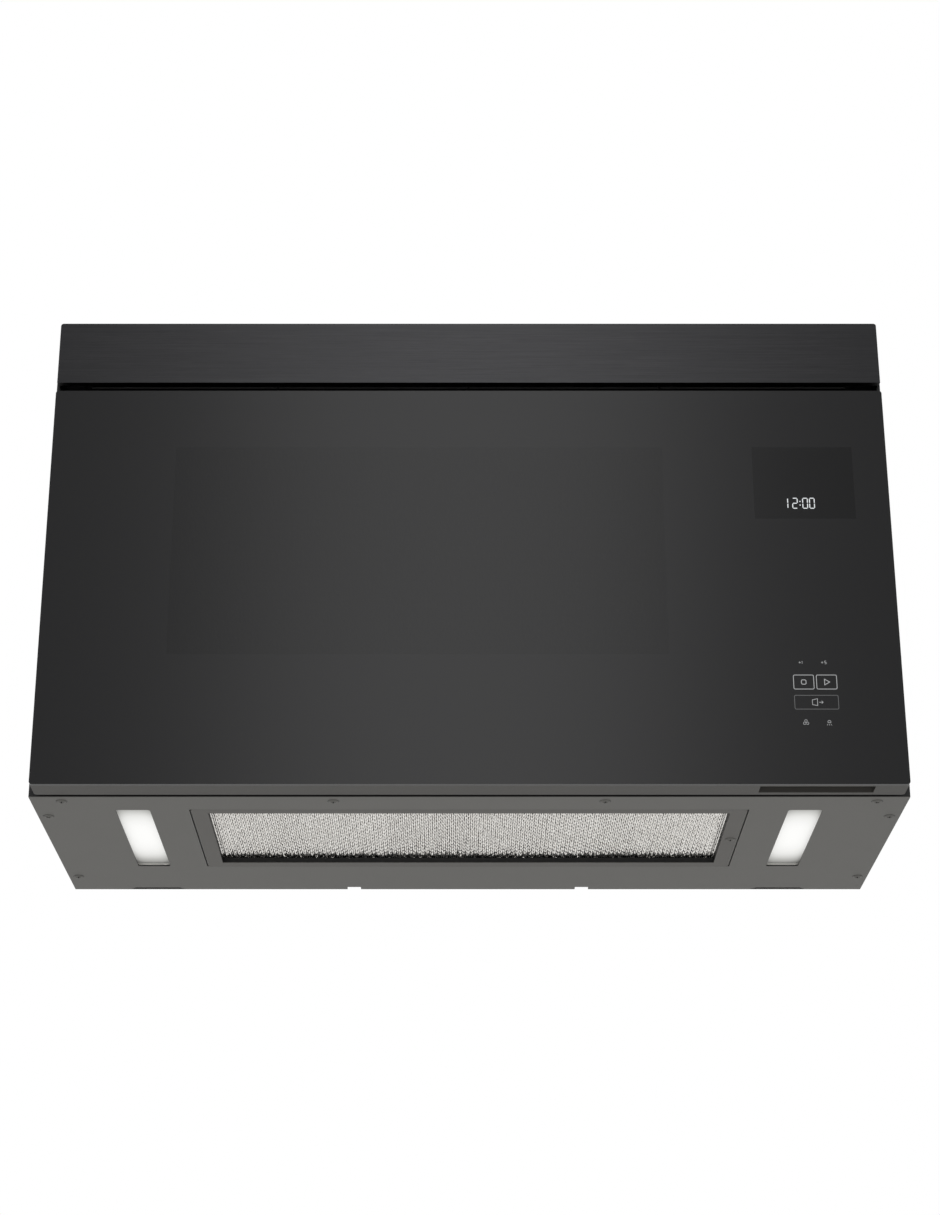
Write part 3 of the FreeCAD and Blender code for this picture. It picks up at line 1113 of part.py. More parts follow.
bush = body("bush")
bush_section = sketch(bush, "bush_flange", "XY", "case_high")
polygon(bush_section, "cord_x", "cord_y", "cord_hole + bush_rim", CAN_SIDES)
ring(bush_section, "cord_x", "cord_y", "cord_bore")
pad(bush, bush_section, "bush_rim")
bush_neck = sketch(bush, "bush_neck", "XY", "case_high - bush_deep")
polygon(bush_neck, "cord_x", "cord_y", "cord_hole - back_fit", CAN_SIDES)
ring(bush_neck, "cord_x", "cord_y", "cord_bore")
pad(bush, bush_neck, "bush_deep")
node("cord_bushing", bush)

plates = []
for name, middle_x in (("left", "-bolt_space / 2"), ("right", "bolt_space / 2")):
    block = box(f"{name}_bolt_block",
                (f"{middle_x} - plate_side / 2", "bolt_y - plate_side / 2", "top_inside - plate_thick"),
                (f"{middle_x} + plate_side / 2", "bolt_y + plate_side / 2", "top_inside"))
    hole = rod(f"{name}_bolt_hole", (middle_x, "bolt_y", "top_inside - plate_thick - 1"), "z", "plate_thick + 2",
               "bolt_hole")
    plates.append(cut(f"{name}_bolt_plate", block, [hole]))
node("bolt_plates", group("bolt_plate_pair", plates))

# ---------------------------------------------------------------- filter and lights

frame = body("filter_frame_body")
frame_plan = sketch(frame, "filter_outline", "XY", "0")
rectangle(frame_plan, "-filter_half", "filter_half", "filter_front", "filter_rear")
pad(frame, frame_plan, "filter_rise")
frame_hole = sketch(frame, "filter_window", "XY", "0")
rectangle(frame_hole, "-mesh_half", "mesh_half", "mesh_front", "mesh_rear")
pocket(frame, frame_hole, "4 * filter_rise")
frame_back_cut = sketch(frame, "filter_channel", "XY", "filter_rise")
rectangle(frame_back_cut, "-filter_half + filter_sheet", "-mesh_half - filter_sheet",
          "filter_front + filter_sheet", "filter_rear - filter_sheet")
rectangle(frame_back_cut, "mesh_half + filter_sheet", "filter_half - filter_sheet",
          "filter_front + filter_sheet", "filter_rear - filter_sheet")
pocket(frame, frame_back_cut, "2 * (filter_rise - filter_sheet)")
frame_screw = sketch(frame, "filter_screw_hole", "XY", "0")
polygon(frame_screw, "filter_screw_x", "filter_screw_y", "screw_shank + screw_fit", SCREW_SIDES)
pocket(frame, frame_screw, "4 * filter_rise")
soften(frame, "filter_corners", "light_corner",
       lambda e: runs(e, "z") and near(abs(middle(e).x), number_of("filter_half")))
node("filter_frame", frame)
node("grease_filter", box("mesh", ("-mesh_half - mesh_lap", "mesh_front - mesh_lap", "filter_rise"),
                          ("mesh_half + mesh_lap", "mesh_rear + mesh_lap", "filter_rise + mesh_thick")))

tab_low = "filter_rise + back_fit"
hood_out = box("hood_outside", ("-hood_half", "filter_front - hood_lap", "base_sheet"),
               ("hood_half", "filter_rear + hood_lap", "hood_high"))
hood_in = box("hood_inside", ("-hood_half - 1", "filter_front - hood_lap + hood_sheet", "base_sheet - 1"),
              ("hood_half - hood_sheet", "filter_rear + hood_lap - hood_sheet", "hood_high - hood_sheet"))
hood_tab = box("hood_tab", ("mesh_half + mesh_lap + hood_sheet / 2", "filter_screw_y - tab_half", tab_low),
               ("hood_half - hood_sheet / 2", "filter_screw_y + tab_half", f"{tab_low} + tab_sheet"))
hood_hole = prism("hood_hole", ("filter_screw_x", "filter_screw_y", f"{tab_low} - 1"), "z", "tab_sheet + 2",
                  "screw_shank + shaft_fit", SCREW_SIDES)
node("filter_plenum", cut("hood_cut", fuse("hood", [cut("hood_shell", hood_out, [hood_in]), hood_tab]), [hood_hole]))


def screw(name, x, y, long):
    """A pan-head screw driven up into the underside."""
    head = prism(name + "_head", (x, y, "-screw_cap"), "z", "screw_cap", "screw_head", HEAD_SIDES)
    shank = prism(name + "_shank", (x, y, "-screw_cap / 2"), "z", f"{long} + screw_cap / 2", "screw_shank",
                  SCREW_SIDES)
    return fuse(name, [head, shank])


node("filter_screw", screw("frame_screw", "filter_screw_x", "filter_screw_y", f"{tab_low} + tab_sheet"))
driven = []
for number, (across, back) in enumerate(SCREWS):
    for name, side in (("left", "-"), ("right", "")):
        driven.append(screw(f"{name}_screw_{number}", side + across, back, "screw_long"))
node("base_screws", group("driven_screws", driven))

for name, side in (("left", -1), ("right", 1)):
    centre = f"({side} * light_place)"
    half = "(light_wide / 2 + light_wall)"
    board_top = "base_sheet + light_high - light_roof"
    outside = box(f"{name}_light_outside", (f"{centre} - {half}", "light_front - light_wall", "base_sheet"),
                  (f"{centre} + {half}", "light_rear + light_wall", "base_sheet + light_high"))
    lens_half = "(light_wide / 2 + lens_lap)"
    lens_space = box(f"{name}_lens_space",
                     (f"{centre} - {lens_half} - back_fit", "light_front - lens_lap - back_fit", "base_sheet - 1"),
                     (f"{centre} + {lens_half} + back_fit", "light_rear + lens_lap + back_fit",
                      "light_recess + lens_thick"))
    glow_space = box(f"{name}_glow_space",
                     (f"{centre} - light_wide / 2 + lens_lap", "light_front + lens_lap", "light_recess"),
                     (f"{centre} + light_wide / 2 - lens_lap", "light_rear - lens_lap", board_top))
    node(f"{name}_light_housing", cut(f"{name}_light", outside, [lens_space, glow_space]))
    node(f"{name}_light_lens",
         box(f"{name}_lens", (f"{centre} - {lens_half}", "light_front - lens_lap", "light_recess"),
             (f"{centre} + {lens_half}", "light_rear + lens_lap", "light_recess + lens_thick")))
    board_under = f"{board_top} - board_thick"
    board = box(f"{name}_led_board",
                (f"{centre} - light_board_half", "light_front + light_board_in", board_under),
                (f"{centre} + light_board_half", "light_rear - light_board_in", board_top))
    chips = []
    for i in range(6):
        chip_front = f"light_front + chip_start + {i} * chip_pitch"
        chips.append(box(f"{name}_led_{i}",
                         (f"{centre} - chip_side / 2", chip_front, f"{board_under} - chip_high"),
                         (f"{centre} + chip_side / 2", f"{chip_front} + chip_side", board_under)))
    node(f"{name}_light_board", fuse(f"{name}_board", [board] + chips))

# ---------------------------------------------------------------- hinges

hinge_x = "-door_half + hinge_in"
hinge_y = "door_rear - hinge_depth"
upper_low = "door_high + hinge_lift"
upper_parts = [
    box("upper_plate", (f"{hinge_x} - hinge_half", f"{hinge_y} - hinge_half", upper_low),
        (f"{hinge_x} + 2 * hinge_half", "case_front", f"{upper_low} + hinge_sheet")),
    box("upper_leaf", (f"{hinge_x} - hinge_half", "case_front - leaf_sheet", upper_low),
        (f"{hinge_x} + 2 * hinge_half", "case_front", f"{upper_low} + leaf_high")),
    rod("upper_pin", (hinge_x, hinge_y, "tray_top - pin_long"), "z",
        f"{upper_low} + hinge_sheet - tray_top + pin_long", "pin_radius"),
]
node("upper_hinge", fuse("upper_hinge_whole", upper_parts))
lower_parts = [
    box("lower_plate", (f"{hinge_x} - hinge_half", f"{hinge_y} - hinge_half", "lower_hinge"),
        (f"{hinge_x} + hinge_half", "case_front", "lower_hinge + hinge_sheet")),
    box("lower_leaf", (f"{hinge_x} - hinge_half", "case_front - leaf_sheet", "lower_hinge"),
        (f"{hinge_x} + hinge_half", "case_front", "lower_hinge + leaf_high")),
    rod("lower_pin", (hinge_x, hinge_y, "lower_hinge + hinge_sheet - pin_long / 2"), "z", "1.2 * pin_long",
        "pin_radius"),
]
node("lower_hinge", fuse("lower_hinge_whole", lower_parts))

# ---------------------------------------------------------------- door

node("door_glass", rounded("glass", ("-door_half", "glass_front", "0"), ("door_half", "glass_back", "door_high"),
                           "glass_corner", lambda e: runs(e, "y")))

tray_block = rounded("tray_outside", ("-tray_half", "glass_back", "tray_low"), ("tray_half", "door_rear", "tray_top"),
                     "door_corner", lambda e: runs(e, "z") and near(middle(e).y, number_of("door_rear")))
tray_space = box("tray_space", ("-tray_half + door_wall", "web_back", "tray_low + door_wall"),
                 ("tray_half - door_wall", "door_rear + 1", "tray_top - door_wall"))
boss_right = f"{hinge_x} + pin_radius + 2 * door_wall"
boss_front = f"{hinge_y} - pin_radius - 2 * door_wall"
grip_back = "glass_front + grip_front + grip_wide"
solid_parts = [
    cut("tray_shell", tray_block, [tray_space]),
    box("lower_boss", ("-tray_half + door_wall - 0.5", boss_front, "tray_low + 1"),
        (boss_right, "cover_front", "tray_low + 1.4 * pin_long + 6")),
    box("upper_boss", ("-tray_half + door_wall - 0.5", boss_front, "tray_top - pin_long - door_wall"),
        (boss_right, "cover_front", "tray_top - 1")),
    box("grip_walls", ("grip_left - grip_wall", "glass_back + 1", "tray_low"),
        ("grip_right + grip_wall", f"{grip_back} + grip_wall", "tray_low + grip_high + grip_wall")),
]
guide_levels = ("bar_low + bar_guide_low", "bar_high - bar_guide_top")
for index, level in enumerate(guide_levels):
    solid_parts.append(box(f"bar_guide_{index}", ("hook_x - guide_half", "web_back - 1", level),
                           ("hook_x + guide_half", "bar_back + guide_back", f"{level} + bar_guide_high")))
solid_parts.append(box("spring_seat", ("hook_x - guide_half", "web_back - 1", "bar_high + spring_long"),
                       ("hook_x + guide_half", "bar_back + guide_back", "bar_high + spring_long + seat_thick")))
tray_cuts = [
    box("window_space", ("window_left - window_back", "glass_back - 1", "window_low - window_back"),
        ("window_right + window_back", "web_back + 1", "window_high + window_back")),
    box("display_space", ("display_left", "glass_back - 1", "display_low"),
        ("display_right", "web_back + 1", "window_high")),
    box("grip_space", ("grip_left", "glass_front + grip_front", "-1"),
        ("grip_right", grip_back, "tray_low + grip_high")),
    rod("lower_bore", (hinge_x, hinge_y, "lower_hinge + hinge_sheet - 0.5 * pin_long - 0.3"), "z",
        "1.2 * pin_long + 0.6", "pin_radius + pin_fit"),
    rod("upper_bore", (hinge_x, hinge_y, "tray_top - pin_long - 0.3"), "z", "pin_long + 1", "pin_radius + pin_fit"),
    rod("hinge_pocket", (hinge_x, hinge_y, "lower_hinge - pocket_fit"), "z", "hinge_sheet + 2 * pocket_fit",
        "hinge_sweep"),
]
for index, level in enumerate(guide_levels):
    tray_cuts.append(box(f"bar_channel_{index}",
                         ("hook_x - hook_thick / 2 - cover_fit", "bar_front - cover_fit", f"{level} - 1"),
                         ("hook_x + hook_thick / 2 + cover_fit", "bar_back + cover_fit", f"{level} + bar_guide_high + 1")))
node("door_frame", cut("door_tray", fuse("door_tray_whole", solid_parts), tray_cuts))

choke_left = "cavity_left - choke_lap"
choke_right = "cavity_right + choke_lap"
choke_low = "cavity_floor - choke_lap"
choke_high = "cavity_roof + choke_lap"
choke_rear = "case_front - choke_gap - choke_cover"
cover = box("cover_plate", ("-tray_half + door_wall + cover_fit", "cover_front", "tray_low + door_wall + cover_fit"),
            ("tray_half - door_wall - cover_fit", "door_rear", "tray_top - door_wall - cover_fit"))
cover_cuts = [
    box("cover_window", (f"{choke_left} - cover_fit", "cover_front - 1", f"{choke_low} - cover_fit"),
        (f"{choke_right} + cover_fit", "door_rear + 1", f"{choke_high} + cover_fit")),
    rod("cover_hinge_space", (hinge_x, hinge_y, "lower_hinge - pocket_fit"), "z", "hinge_sheet + 2 * pocket_fit",
        "hinge_sweep"),
]
for name in ("hook_low", "hook_top"):
    cover_cuts.append(box(f"cover_{name}",
                          ("hook_x - hook_thick / 2 - 2 * cover_fit", "cover_front - 1",
                           f"{name} - hook_travel - cover_fit"),
                          ("hook_x + hook_thick / 2 + 2 * cover_fit", "door_rear + 1",
                           f"{name} + hook_high + cover_fit")))
node("door_cover", cut("cover", cover, cover_cuts))

# The inner door: a pan with a choke rim round a sunk screen, its cover ring and its inner glass.
well = "(choke_lap + choke_rim)"
screen = "web_back + screen_depth"
pan = box("pan_block", (choke_left, "web_back + cover_fit", choke_low), (choke_right, choke_rear, choke_high))
pan_space = box("pan_space", (f"{choke_left} + pan_sheet", "web_back", f"{choke_low} + pan_sheet"),
                (f"{choke_right} - pan_sheet", f"{choke_rear} - pan_sheet", f"{choke_high} - pan_sheet"))
pan_mouth = box("pan_mouth", (f"{choke_left} + {well}", "web_back", f"{choke_low} + {well}"),
                (f"{choke_right} - {well}", f"{choke_rear} + 1", f"{choke_high} - {well}"))
well_block = box("well_block", (f"{choke_left} + {well} - pan_sheet", screen, f"{choke_low} + {well} - pan_sheet"),
                 (f"{choke_right} - {well} + pan_sheet", choke_rear, f"{choke_high} - {well} + pan_sheet"))
well_space = box("well_space", (f"{choke_left} + {well}", f"{screen} + pan_sheet", f"{choke_low} + {well}"),
                 (f"{choke_right} - {well}", f"{choke_rear} + 1", f"{choke_high} - {well}"))
node("inner_door", fuse("pan_whole", [cut("pan", pan, [pan_space, pan_mouth]), cut("well", well_block, [well_space])]))
ring_block = box("choke_ring", (choke_left, choke_rear, choke_low), (choke_right, f"{choke_rear} + choke_cover", choke_high))
ring_space = box("choke_ring_space", (f"{choke_left} + {well}", f"{choke_rear} - 1", f"{choke_low} + {well}"),
                 (f"{choke_right} - {well}", "case_front", f"{choke_high} - {well}"))
node("choke_cover", cut("choke_ring_cut", ring_block, [ring_space]))
node("inner_glass", box("inner_glass_block",
                        (f"{choke_left} + {well} + cover_fit", f"{screen} + pan_sheet",
                         f"{choke_low} + {well} + cover_fit"),
                        (f"{choke_right} - {well} - cover_fit", f"{screen} + pan_sheet + inner_glass",
                         f"{choke_high} - {well} - cover_fit")))
node("display_module", box("display_block", ("display_left + cover_fit", "glass_back", "display_low + cover_fit"),
                           ("display_right - cover_fit", "web_back", "window_high - cover_fit")))
touch_back = "web_back + board_thick"
touch = [box("touch_plate", ("hook_x + touch_clear", "web_back", "touch_low"),
             ("tray_half - door_wall - touch_in", touch_back, "touch_high"))]
for index in range(4):
    left = f"display_left + {index} * touch_chip_pitch"
    touch.append(box(f"touch_chip_{index}", (left, touch_back, "touch_low + touch_chip_low"),
                     (f"{left} + touch_chip", f"{touch_back} + touch_chip_high",
                      "touch_low + touch_chip_low + touch_chip")))
node("touch_board", fuse("touch", touch))

# ---------------------------------------------------------------- latch

hook_body = body("hooks")
hook_side_view = sketch(hook_body, "hook_outline", "YZ", "hook_x - hook_thick / 2")
tip = "frame_back + hook_reach"
barb = "frame_back + barb_start"


def hook_points(level):
    """One hook of the bar, from its underside round its barb to its top."""
    return [
        ("bar_back", level), (barb, level), (barb, f"{level} - barb_deep"),
        (f"{tip} - tip_slope", f"{level} - barb_deep"), (tip, f"{level} + tip_rise"), (tip, f"{level} + hook_high"), ("bar_back", f"{level} + hook_high"),
    ]


outline(hook_side_view, [("bar_front", "bar_low"), ("bar_back", "bar_low")] + hook_points("hook_low")
        + hook_points("hook_top") + [("bar_back", "bar_high"), ("bar_front", "bar_high")])
pad(hook_body, hook_side_view, "hook_thick")
node("latch_hooks", hook_body)
spring_mid = "(bar_front + bar_back) / 2"
spring = prism("spring_out", ("hook_x", spring_mid, "bar_high"), "z", "spring_long", "spring_radius", PORT_SIDES)
spring_in = prism("spring_in", ("hook_x", spring_mid, "bar_high - 1"), "z", "spring_long + 2",
                  "spring_radius - spring_wire", PORT_SIDES)
node("latch_spring", cut("spring", spring, [spring_in]))

plate_x = "hook_x + bracket_off"
lever_z = "hook_low - lever_drop"
bracket = fuse("bracket_whole", [
    box("bracket_plate", (plate_x, "frame_back", "bar_low"),
        (f"{plate_x} + bracket_sheet", "lever_y + release_back", "bar_high")),
    box("bracket_foot", (plate_x, "frame_back", "bar_low"),
        (f"{plate_x} + bracket_deep", "frame_back + bracket_sheet", "bar_high")),
])
bracket_hole = rod("bracket_hole", (f"{plate_x} - 1", "lever_y", lever_z), "x", "bracket_sheet + 2",
                   "shaft_radius + shaft_fit")
node("latch_bracket", cut("bracket", bracket, [bracket_hole]))
switches = []
for i, level in enumerate(("hook_low", "hook_low + switch_step", "hook_top")):
    switches.append(box(f"switch_{i}", (f"{plate_x} - switch_thick", f"{tip} + switch_gap", f"{level} + switch_rise"),
                        (plate_x, "lever_y + release_back - bracket_sheet",
                         f"{level} + switch_rise + switch_high")))
node("door_switches", group("switch_group", switches))
release_left = f"{plate_x} + bracket_sheet"
release = box("release_block", (release_left, "lever_y - release_front", f"{lever_z} - release_half"),
              (f"{release_left} + release_long", "lever_y + release_back", f"{lever_z} + release_half"))
release_bore = rod("release_bore", (f"{release_left} - 1", "lever_y", lever_z), "x", "lever_axle - lever_wide - 2",
                   "shaft_radius + shaft_fit")
node("release_motor", cut("release_cut", release, [release_bore]))
nose = "lever_y - lever_reach"
lever_left = "hook_x - lever_wide / 2"
lever_right = "hook_x + lever_wide / 2"
lever_parts = [
    prism("lever_hub_disc", (lever_left, "lever_y", lever_z), "x", "lever_wide", "lever_hub", PORT_SIDES),
    rod("lever_axle_rod", (lever_left, "lever_y", lever_z), "x", "lever_axle", "shaft_radius"),
    box("lever_arm", (lever_left, f"{nose} - lever_tip", f"{lever_z} - lever_heel"),
        (lever_right, "lever_y", f"{lever_z} + lever_top")),
    box("lever_nose", (lever_left, f"{nose} - lever_tip", f"{lever_z} - lever_heel"),
        (lever_right, f"{nose} + lever_heel", "hook_low - barb_deep - lever_gap")),
]
node("release_lever", fuse("lever", lever_parts))
node("oven_lamp", box("lamp_block", ("oven_side", "lamp_y - lamp_long / 2", "lamp_z - lamp_high / 2"),
                      ("oven_side + lamp_deep", "lamp_y + lamp_long / 2", "lamp_z + lamp_high / 2")))

# ---------------------------------------------------------------- writing

doc.recompute()
for thing in doc.Objects:
    if "Invalid" in thing.State or "Error" in thing.State:
        raise ValueError(f"{thing.Label} failed: {thing.State}")
labels = [piece.Label for piece in NODES]
if len(set(labels)) != len(labels) or len(labels) > 60:
    raise ValueError("sub-parts need labels of their own, 60 at most")
for piece in NODES:
    if piece.Shape.isNull() or not piece.Shape.isValid():
        raise ValueError(f"{piece.Label} has no sound shape")
os.makedirs("parts", exist_ok=True)
for piece in NODES:
    piece.Shape.exportStep(f"parts/{piece.Label}.step")
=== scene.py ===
import json
import math

import bpy
import numpy as np
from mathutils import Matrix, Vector


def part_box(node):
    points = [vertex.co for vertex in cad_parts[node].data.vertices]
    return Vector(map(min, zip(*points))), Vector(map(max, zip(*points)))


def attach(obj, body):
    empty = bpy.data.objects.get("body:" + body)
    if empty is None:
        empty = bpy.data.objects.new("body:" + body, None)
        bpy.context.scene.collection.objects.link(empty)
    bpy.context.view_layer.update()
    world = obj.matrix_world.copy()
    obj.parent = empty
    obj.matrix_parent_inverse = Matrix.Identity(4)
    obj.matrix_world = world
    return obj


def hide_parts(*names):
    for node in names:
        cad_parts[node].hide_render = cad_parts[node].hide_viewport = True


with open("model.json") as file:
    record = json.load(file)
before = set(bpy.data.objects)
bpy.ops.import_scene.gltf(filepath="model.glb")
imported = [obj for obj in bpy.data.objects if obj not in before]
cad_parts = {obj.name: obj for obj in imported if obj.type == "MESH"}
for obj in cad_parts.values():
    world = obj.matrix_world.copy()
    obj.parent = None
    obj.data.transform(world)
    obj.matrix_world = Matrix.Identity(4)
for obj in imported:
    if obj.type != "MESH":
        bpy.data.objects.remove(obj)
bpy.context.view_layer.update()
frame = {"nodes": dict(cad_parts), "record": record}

# An over the range microwave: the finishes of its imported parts, its small fittings, the marks on
# its door glass, and the light and the camera of the picture. Metres, in the frame of the parts:
# X to the right, Y back to the wall, Z up, with the door's glass facing -Y.

MM = 0.001


# ---------------------------------------------------------------- tools

def linear(code):
    """The linear colour of an sRGB hex value: c/12.92 near black, ((c + 0.055)/1.055)^2.4 above."""
    share = np.array([int(code[at:at + 2], 16) for at in (0, 2, 4)]) / 255
    curve = np.where(share <= 0.04045, share / 12.92, ((share + 0.055) / 1.055) ** 2.4)
    return (*curve, 1.0)


def add(tree, kind, inputs=None, **settings):
    """One node of that kind. An input is a value, or the output of another node to link from."""
    node = tree.nodes.new(kind)
    for name, value in settings.items():
        setattr(node, name, value)
    for name, value in (inputs or {}).items():
        if isinstance(value, bpy.types.NodeSocket):
            tree.links.new(value, node.inputs[name])
        else:
            node.inputs[name].default_value = value
    return node


def finish(name, inputs):
    """A material with one shader. Returns it, its tree, the shader and the place on the object."""
    made = bpy.data.materials.new(name)
    made.use_nodes = True
    tree = made.node_tree
    tree.nodes.clear()
    shader = add(tree, "ShaderNodeBsdfPrincipled", inputs)
    add(tree, "ShaderNodeOutputMaterial", {"Surface": shader.outputs[0]})
    place = add(tree, "ShaderNodeTexCoord").outputs["Object"]
    return made, tree, shader, place


def stretched(tree, place, size_mm):
    """The place on the object counted in cells of that size in mm along X, Y and Z."""
    return add(tree, "ShaderNodeMapping",
               {"Vector": place, "Scale": [1 / (size * MM) for size in size_mm]}).outputs[0]


def grain(tree, place, size_mm, detail=2.0):
    """Noise whose cells have that size in mm along X, Y and Z, from 0 to 1 about 0.5."""
    cells = stretched(tree, place, size_mm)
    return add(tree, "ShaderNodeTexNoise", {"Vector": cells, "Scale": 1.0, "Detail": detail}).outputs[0]


def ramp(tree, value, low, high, stops):
    """The value's course from low to high, as the given (share, colour) stops."""
    node = add(tree, "ShaderNodeValToRGB", {
        "Fac": add(tree, "ShaderNodeMapRange",
                   {"Value": value, "From Min": low, "From Max": high}).outputs[0]})
    points = node.color_ramp.elements
    while len(points) < len(stops):
        points.new(1.0)
    for point, (share, colour) in zip(points, stops):
        point.position = share
        point.color = colour
    return node.outputs[0]


def mixed(tree, share, first, second):
    """The colour between two colours by a share."""
    node = add(tree, "ShaderNodeMix", {"Factor": share}, data_type="RGBA")
    for socket, colour in ((node.inputs[6], first), (node.inputs[7], second)):
        if isinstance(colour, bpy.types.NodeSocket):
            tree.links.new(colour, socket)
        else:
            socket.default_value = colour
    return node.outputs[2]


def reckon(tree, operation, first, second=0.0, third=0.0):
    """One sum on two or three values."""
    return add(tree, "ShaderNodeMath", {0: first, 1: second, 2: third}, operation=operation).outputs[0]


def roughen(tree, shader, height, depth_mm, strength=1.0):
    """Raises the surface by a height from 0 to 1 times a depth in mm."""
    bump = add(tree, "ShaderNodeBump",
               {"Height": height, "Distance": depth_mm * MM, "Strength": strength})
    tree.links.new(bump.outputs[0], shader.inputs["Normal"])


def vary(tree, shader, socket, value, low, high):
    """Drives a shader's number from low to high by a value from 0 to 1."""
    spread = add(tree, "ShaderNodeMapRange", {"Value": value, "To Min": low, "To Max": high})
    tree.links.new(spread.outputs[0], shader.inputs[socket])


def inside(tree, place, low_mm, high_mm, soft_mm=0.3):
    """1 inside a box seen from the front, 0 outside, with an edge as soft as said.

    low_mm and high_mm are the corners in X and Z. Each side gives a step, and the four multiply.
    """
    axes = add(tree, "ShaderNodeSeparateXYZ", {"Vector": place}).outputs
    share = None
    for axis, low, high in ((0, low_mm[0], high_mm[0]), (2, low_mm[1], high_mm[1])):
        for edge, other in ((low, low + soft_mm), (high, high - soft_mm)):
            step = add(tree, "ShaderNodeMapRange",
                       {"Value": axes[axis], "From Min": edge * MM, "From Max": other * MM}).outputs[0]
            share = step if share is None else reckon(tree, "MULTIPLY", share, step)
    return share


# ---------------------------------------------------------------- finishes

def baked_paint(name, colour, roughness, peel_mm=1.6, painted_shade_above_mm=None):
    """Powder paint baked on sheet steel: even and satin, its gloss broken by a faint orange peel.

    On the underside's panels everything above that height in mm is painted near black, as painted
    shade on the cut edges, the walls of the openings and the folds behind them.
    """
    made, tree, shader, place = finish(name, {"IOR": 1.5, "Specular IOR Level": 0.2})
    cloud = grain(tree, place, (60, 60, 60))
    base = linear(colour)
    darker = [c * 0.93 for c in base[:3]] + [1.0]
    coat = mixed(tree, cloud, darker, base)
    if painted_shade_above_mm:
        # painted shade: faces above that height are painted near black, for the shade on cut edges and
        # in openings
        height = add(tree, "ShaderNodeSeparateXYZ", {"Vector": place}).outputs[2]
        painted_shade = add(tree, "ShaderNodeMapRange", {"Value": height, "From Min": painted_shade_above_mm * MM,
                                                "From Max": 2 * painted_shade_above_mm * MM}).outputs[0]
        coat = mixed(tree, painted_shade, coat, linear("070707"))
    tree.links.new(coat, shader.inputs["Base Color"])
    peel = grain(tree, place, (peel_mm, peel_mm, peel_mm))
    vary(tree, shader, "Roughness", peel, roughness - 0.05, roughness + 0.05)
    roughen(tree, shader, peel, 0.03, 0.35)
    return made


def galvanised_steel(name, colour):
    """Hot-dip galvanised sheet: flakes of zinc about 8 mm wide, each with its own grey and gloss."""
    made, tree, shader, place = finish(name, {"Metallic": 1.0})
    flake = add(tree, "ShaderNodeTexVoronoi",
                {"Vector": stretched(tree, place, (8, 8, 8)), "Scale": 1.0})
    tone = add(tree, "ShaderNodeSeparateColor", {"Color": flake.outputs["Color"]}).outputs[0]
    base = linear(colour)
    darker = [c * 0.78 for c in base[:3]] + [1.0]
    tree.links.new(mixed(tree, tone, darker, base), shader.inputs["Base Color"])
    vary(tree, shader, "Roughness", tone, 0.34, 0.5)
    roughen(tree, shader, grain(tree, place, (2.5, 2.5, 2.5)), 0.02, 0.4)
    return made


def drawn_metal(name, colour, roughness, scratch_mm=(3.0, 3.0, 0.3)):
    """Drawn or plated metal: fine draw lines along its length, a little duller in patches."""
    made, tree, shader, place = finish(name, {"Metallic": 1.0})
    lines = grain(tree, place, scratch_mm, 3.0)
    base = linear(colour)
    darker = [c * 0.82 for c in base[:3]] + [1.0]
    tree.links.new(mixed(tree, lines, darker, base), shader.inputs["Base Color"])
    patches = grain(tree, place, (18, 18, 18))
    vary(tree, shader, "Roughness", patches, roughness - 0.07, roughness + 0.07)
    roughen(tree, shader, lines, 0.01, 0.4)
    return made


def brushed_black_stainless(name):
    """Stainless steel brushed along its width and coated black: fine level lines catch the light.

    The lines are about 60 mm long. At 0.5 mm high they are coarser than real ones, so as to show.
    """
    made, tree, shader, place = finish(name, {"Metallic": 1.0})
    lines = grain(tree, place, (60, 60, 0.5), 3.0)
    fine = grain(tree, place, (14, 14, 0.3), 2.0)
    both = reckon(tree, "ADD", reckon(tree, "MULTIPLY", lines, 0.6),
                  reckon(tree, "MULTIPLY", fine, 0.4))
    tone = ramp(tree, both, 0.25, 0.75,
                [(0.0, linear("212122")), (0.5, linear("272728")), (1.0, linear("2d2d2e"))])
    tree.links.new(tone, shader.inputs["Base Color"])
    vary(tree, shader, "Roughness", both, 0.28, 0.34)
    return made


def moulded_plastic(name, colour, roughness=0.5, spark_mm=0.7):
    """Injection-moulded ABS: the fine spark-eroded grain of its mould, and a soft low gloss."""
    made, tree, shader, place = finish(name, {"IOR": 1.53, "Specular IOR Level": 0.25})
    pits = grain(tree, place, (spark_mm, spark_mm, spark_mm), 3.0)
    base = linear(colour)
    darker = [c * 0.88 for c in base[:3]] + [1.0]
    tree.links.new(mixed(tree, pits, darker, base), shader.inputs["Base Color"])
    vary(tree, shader, "Roughness", pits, roughness - 0.06, roughness + 0.08)
    roughen(tree, shader, pits, 0.03, 0.5)
    return made


# The door's print, in mm across X and Z, from the picture's places on the glass.
WINDOW = ((-262.5, 117.1), (173.2, 314.8))
DISPLAY = ((253.2, 244.8), (343.0, 314.8))


def printed_black_glass(name):
    """Tempered glass printed black on its back: deep and glossy, darker where the print thins.

    The window's print is a screen of dots about 1 mm apart, and the display's a tinted clear.
    """
    made, tree, shader, place = finish(name, {"IOR": 1.5, "Specular IOR Level": 0.16,
                                              "Roughness": 0.24})
    window = inside(tree, place, *WINDOW)
    display = inside(tree, place, *DISPLAY)
    dots = add(tree, "ShaderNodeTexVoronoi", {"Vector": stretched(tree, place, (1.1, 50, 1.1)),
                                              "Scale": 1.0, "Randomness": 0.0}).outputs["Distance"]
    screen = ramp(tree, dots, 0.2, 0.6, [(0.0, linear("0b0b0c")), (1.0, linear("0f0f10"))])
    base = mixed(tree, window, linear("131314"), screen)
    tree.links.new(mixed(tree, display, base, linear("060607")), shader.inputs["Base Color"])
    return made


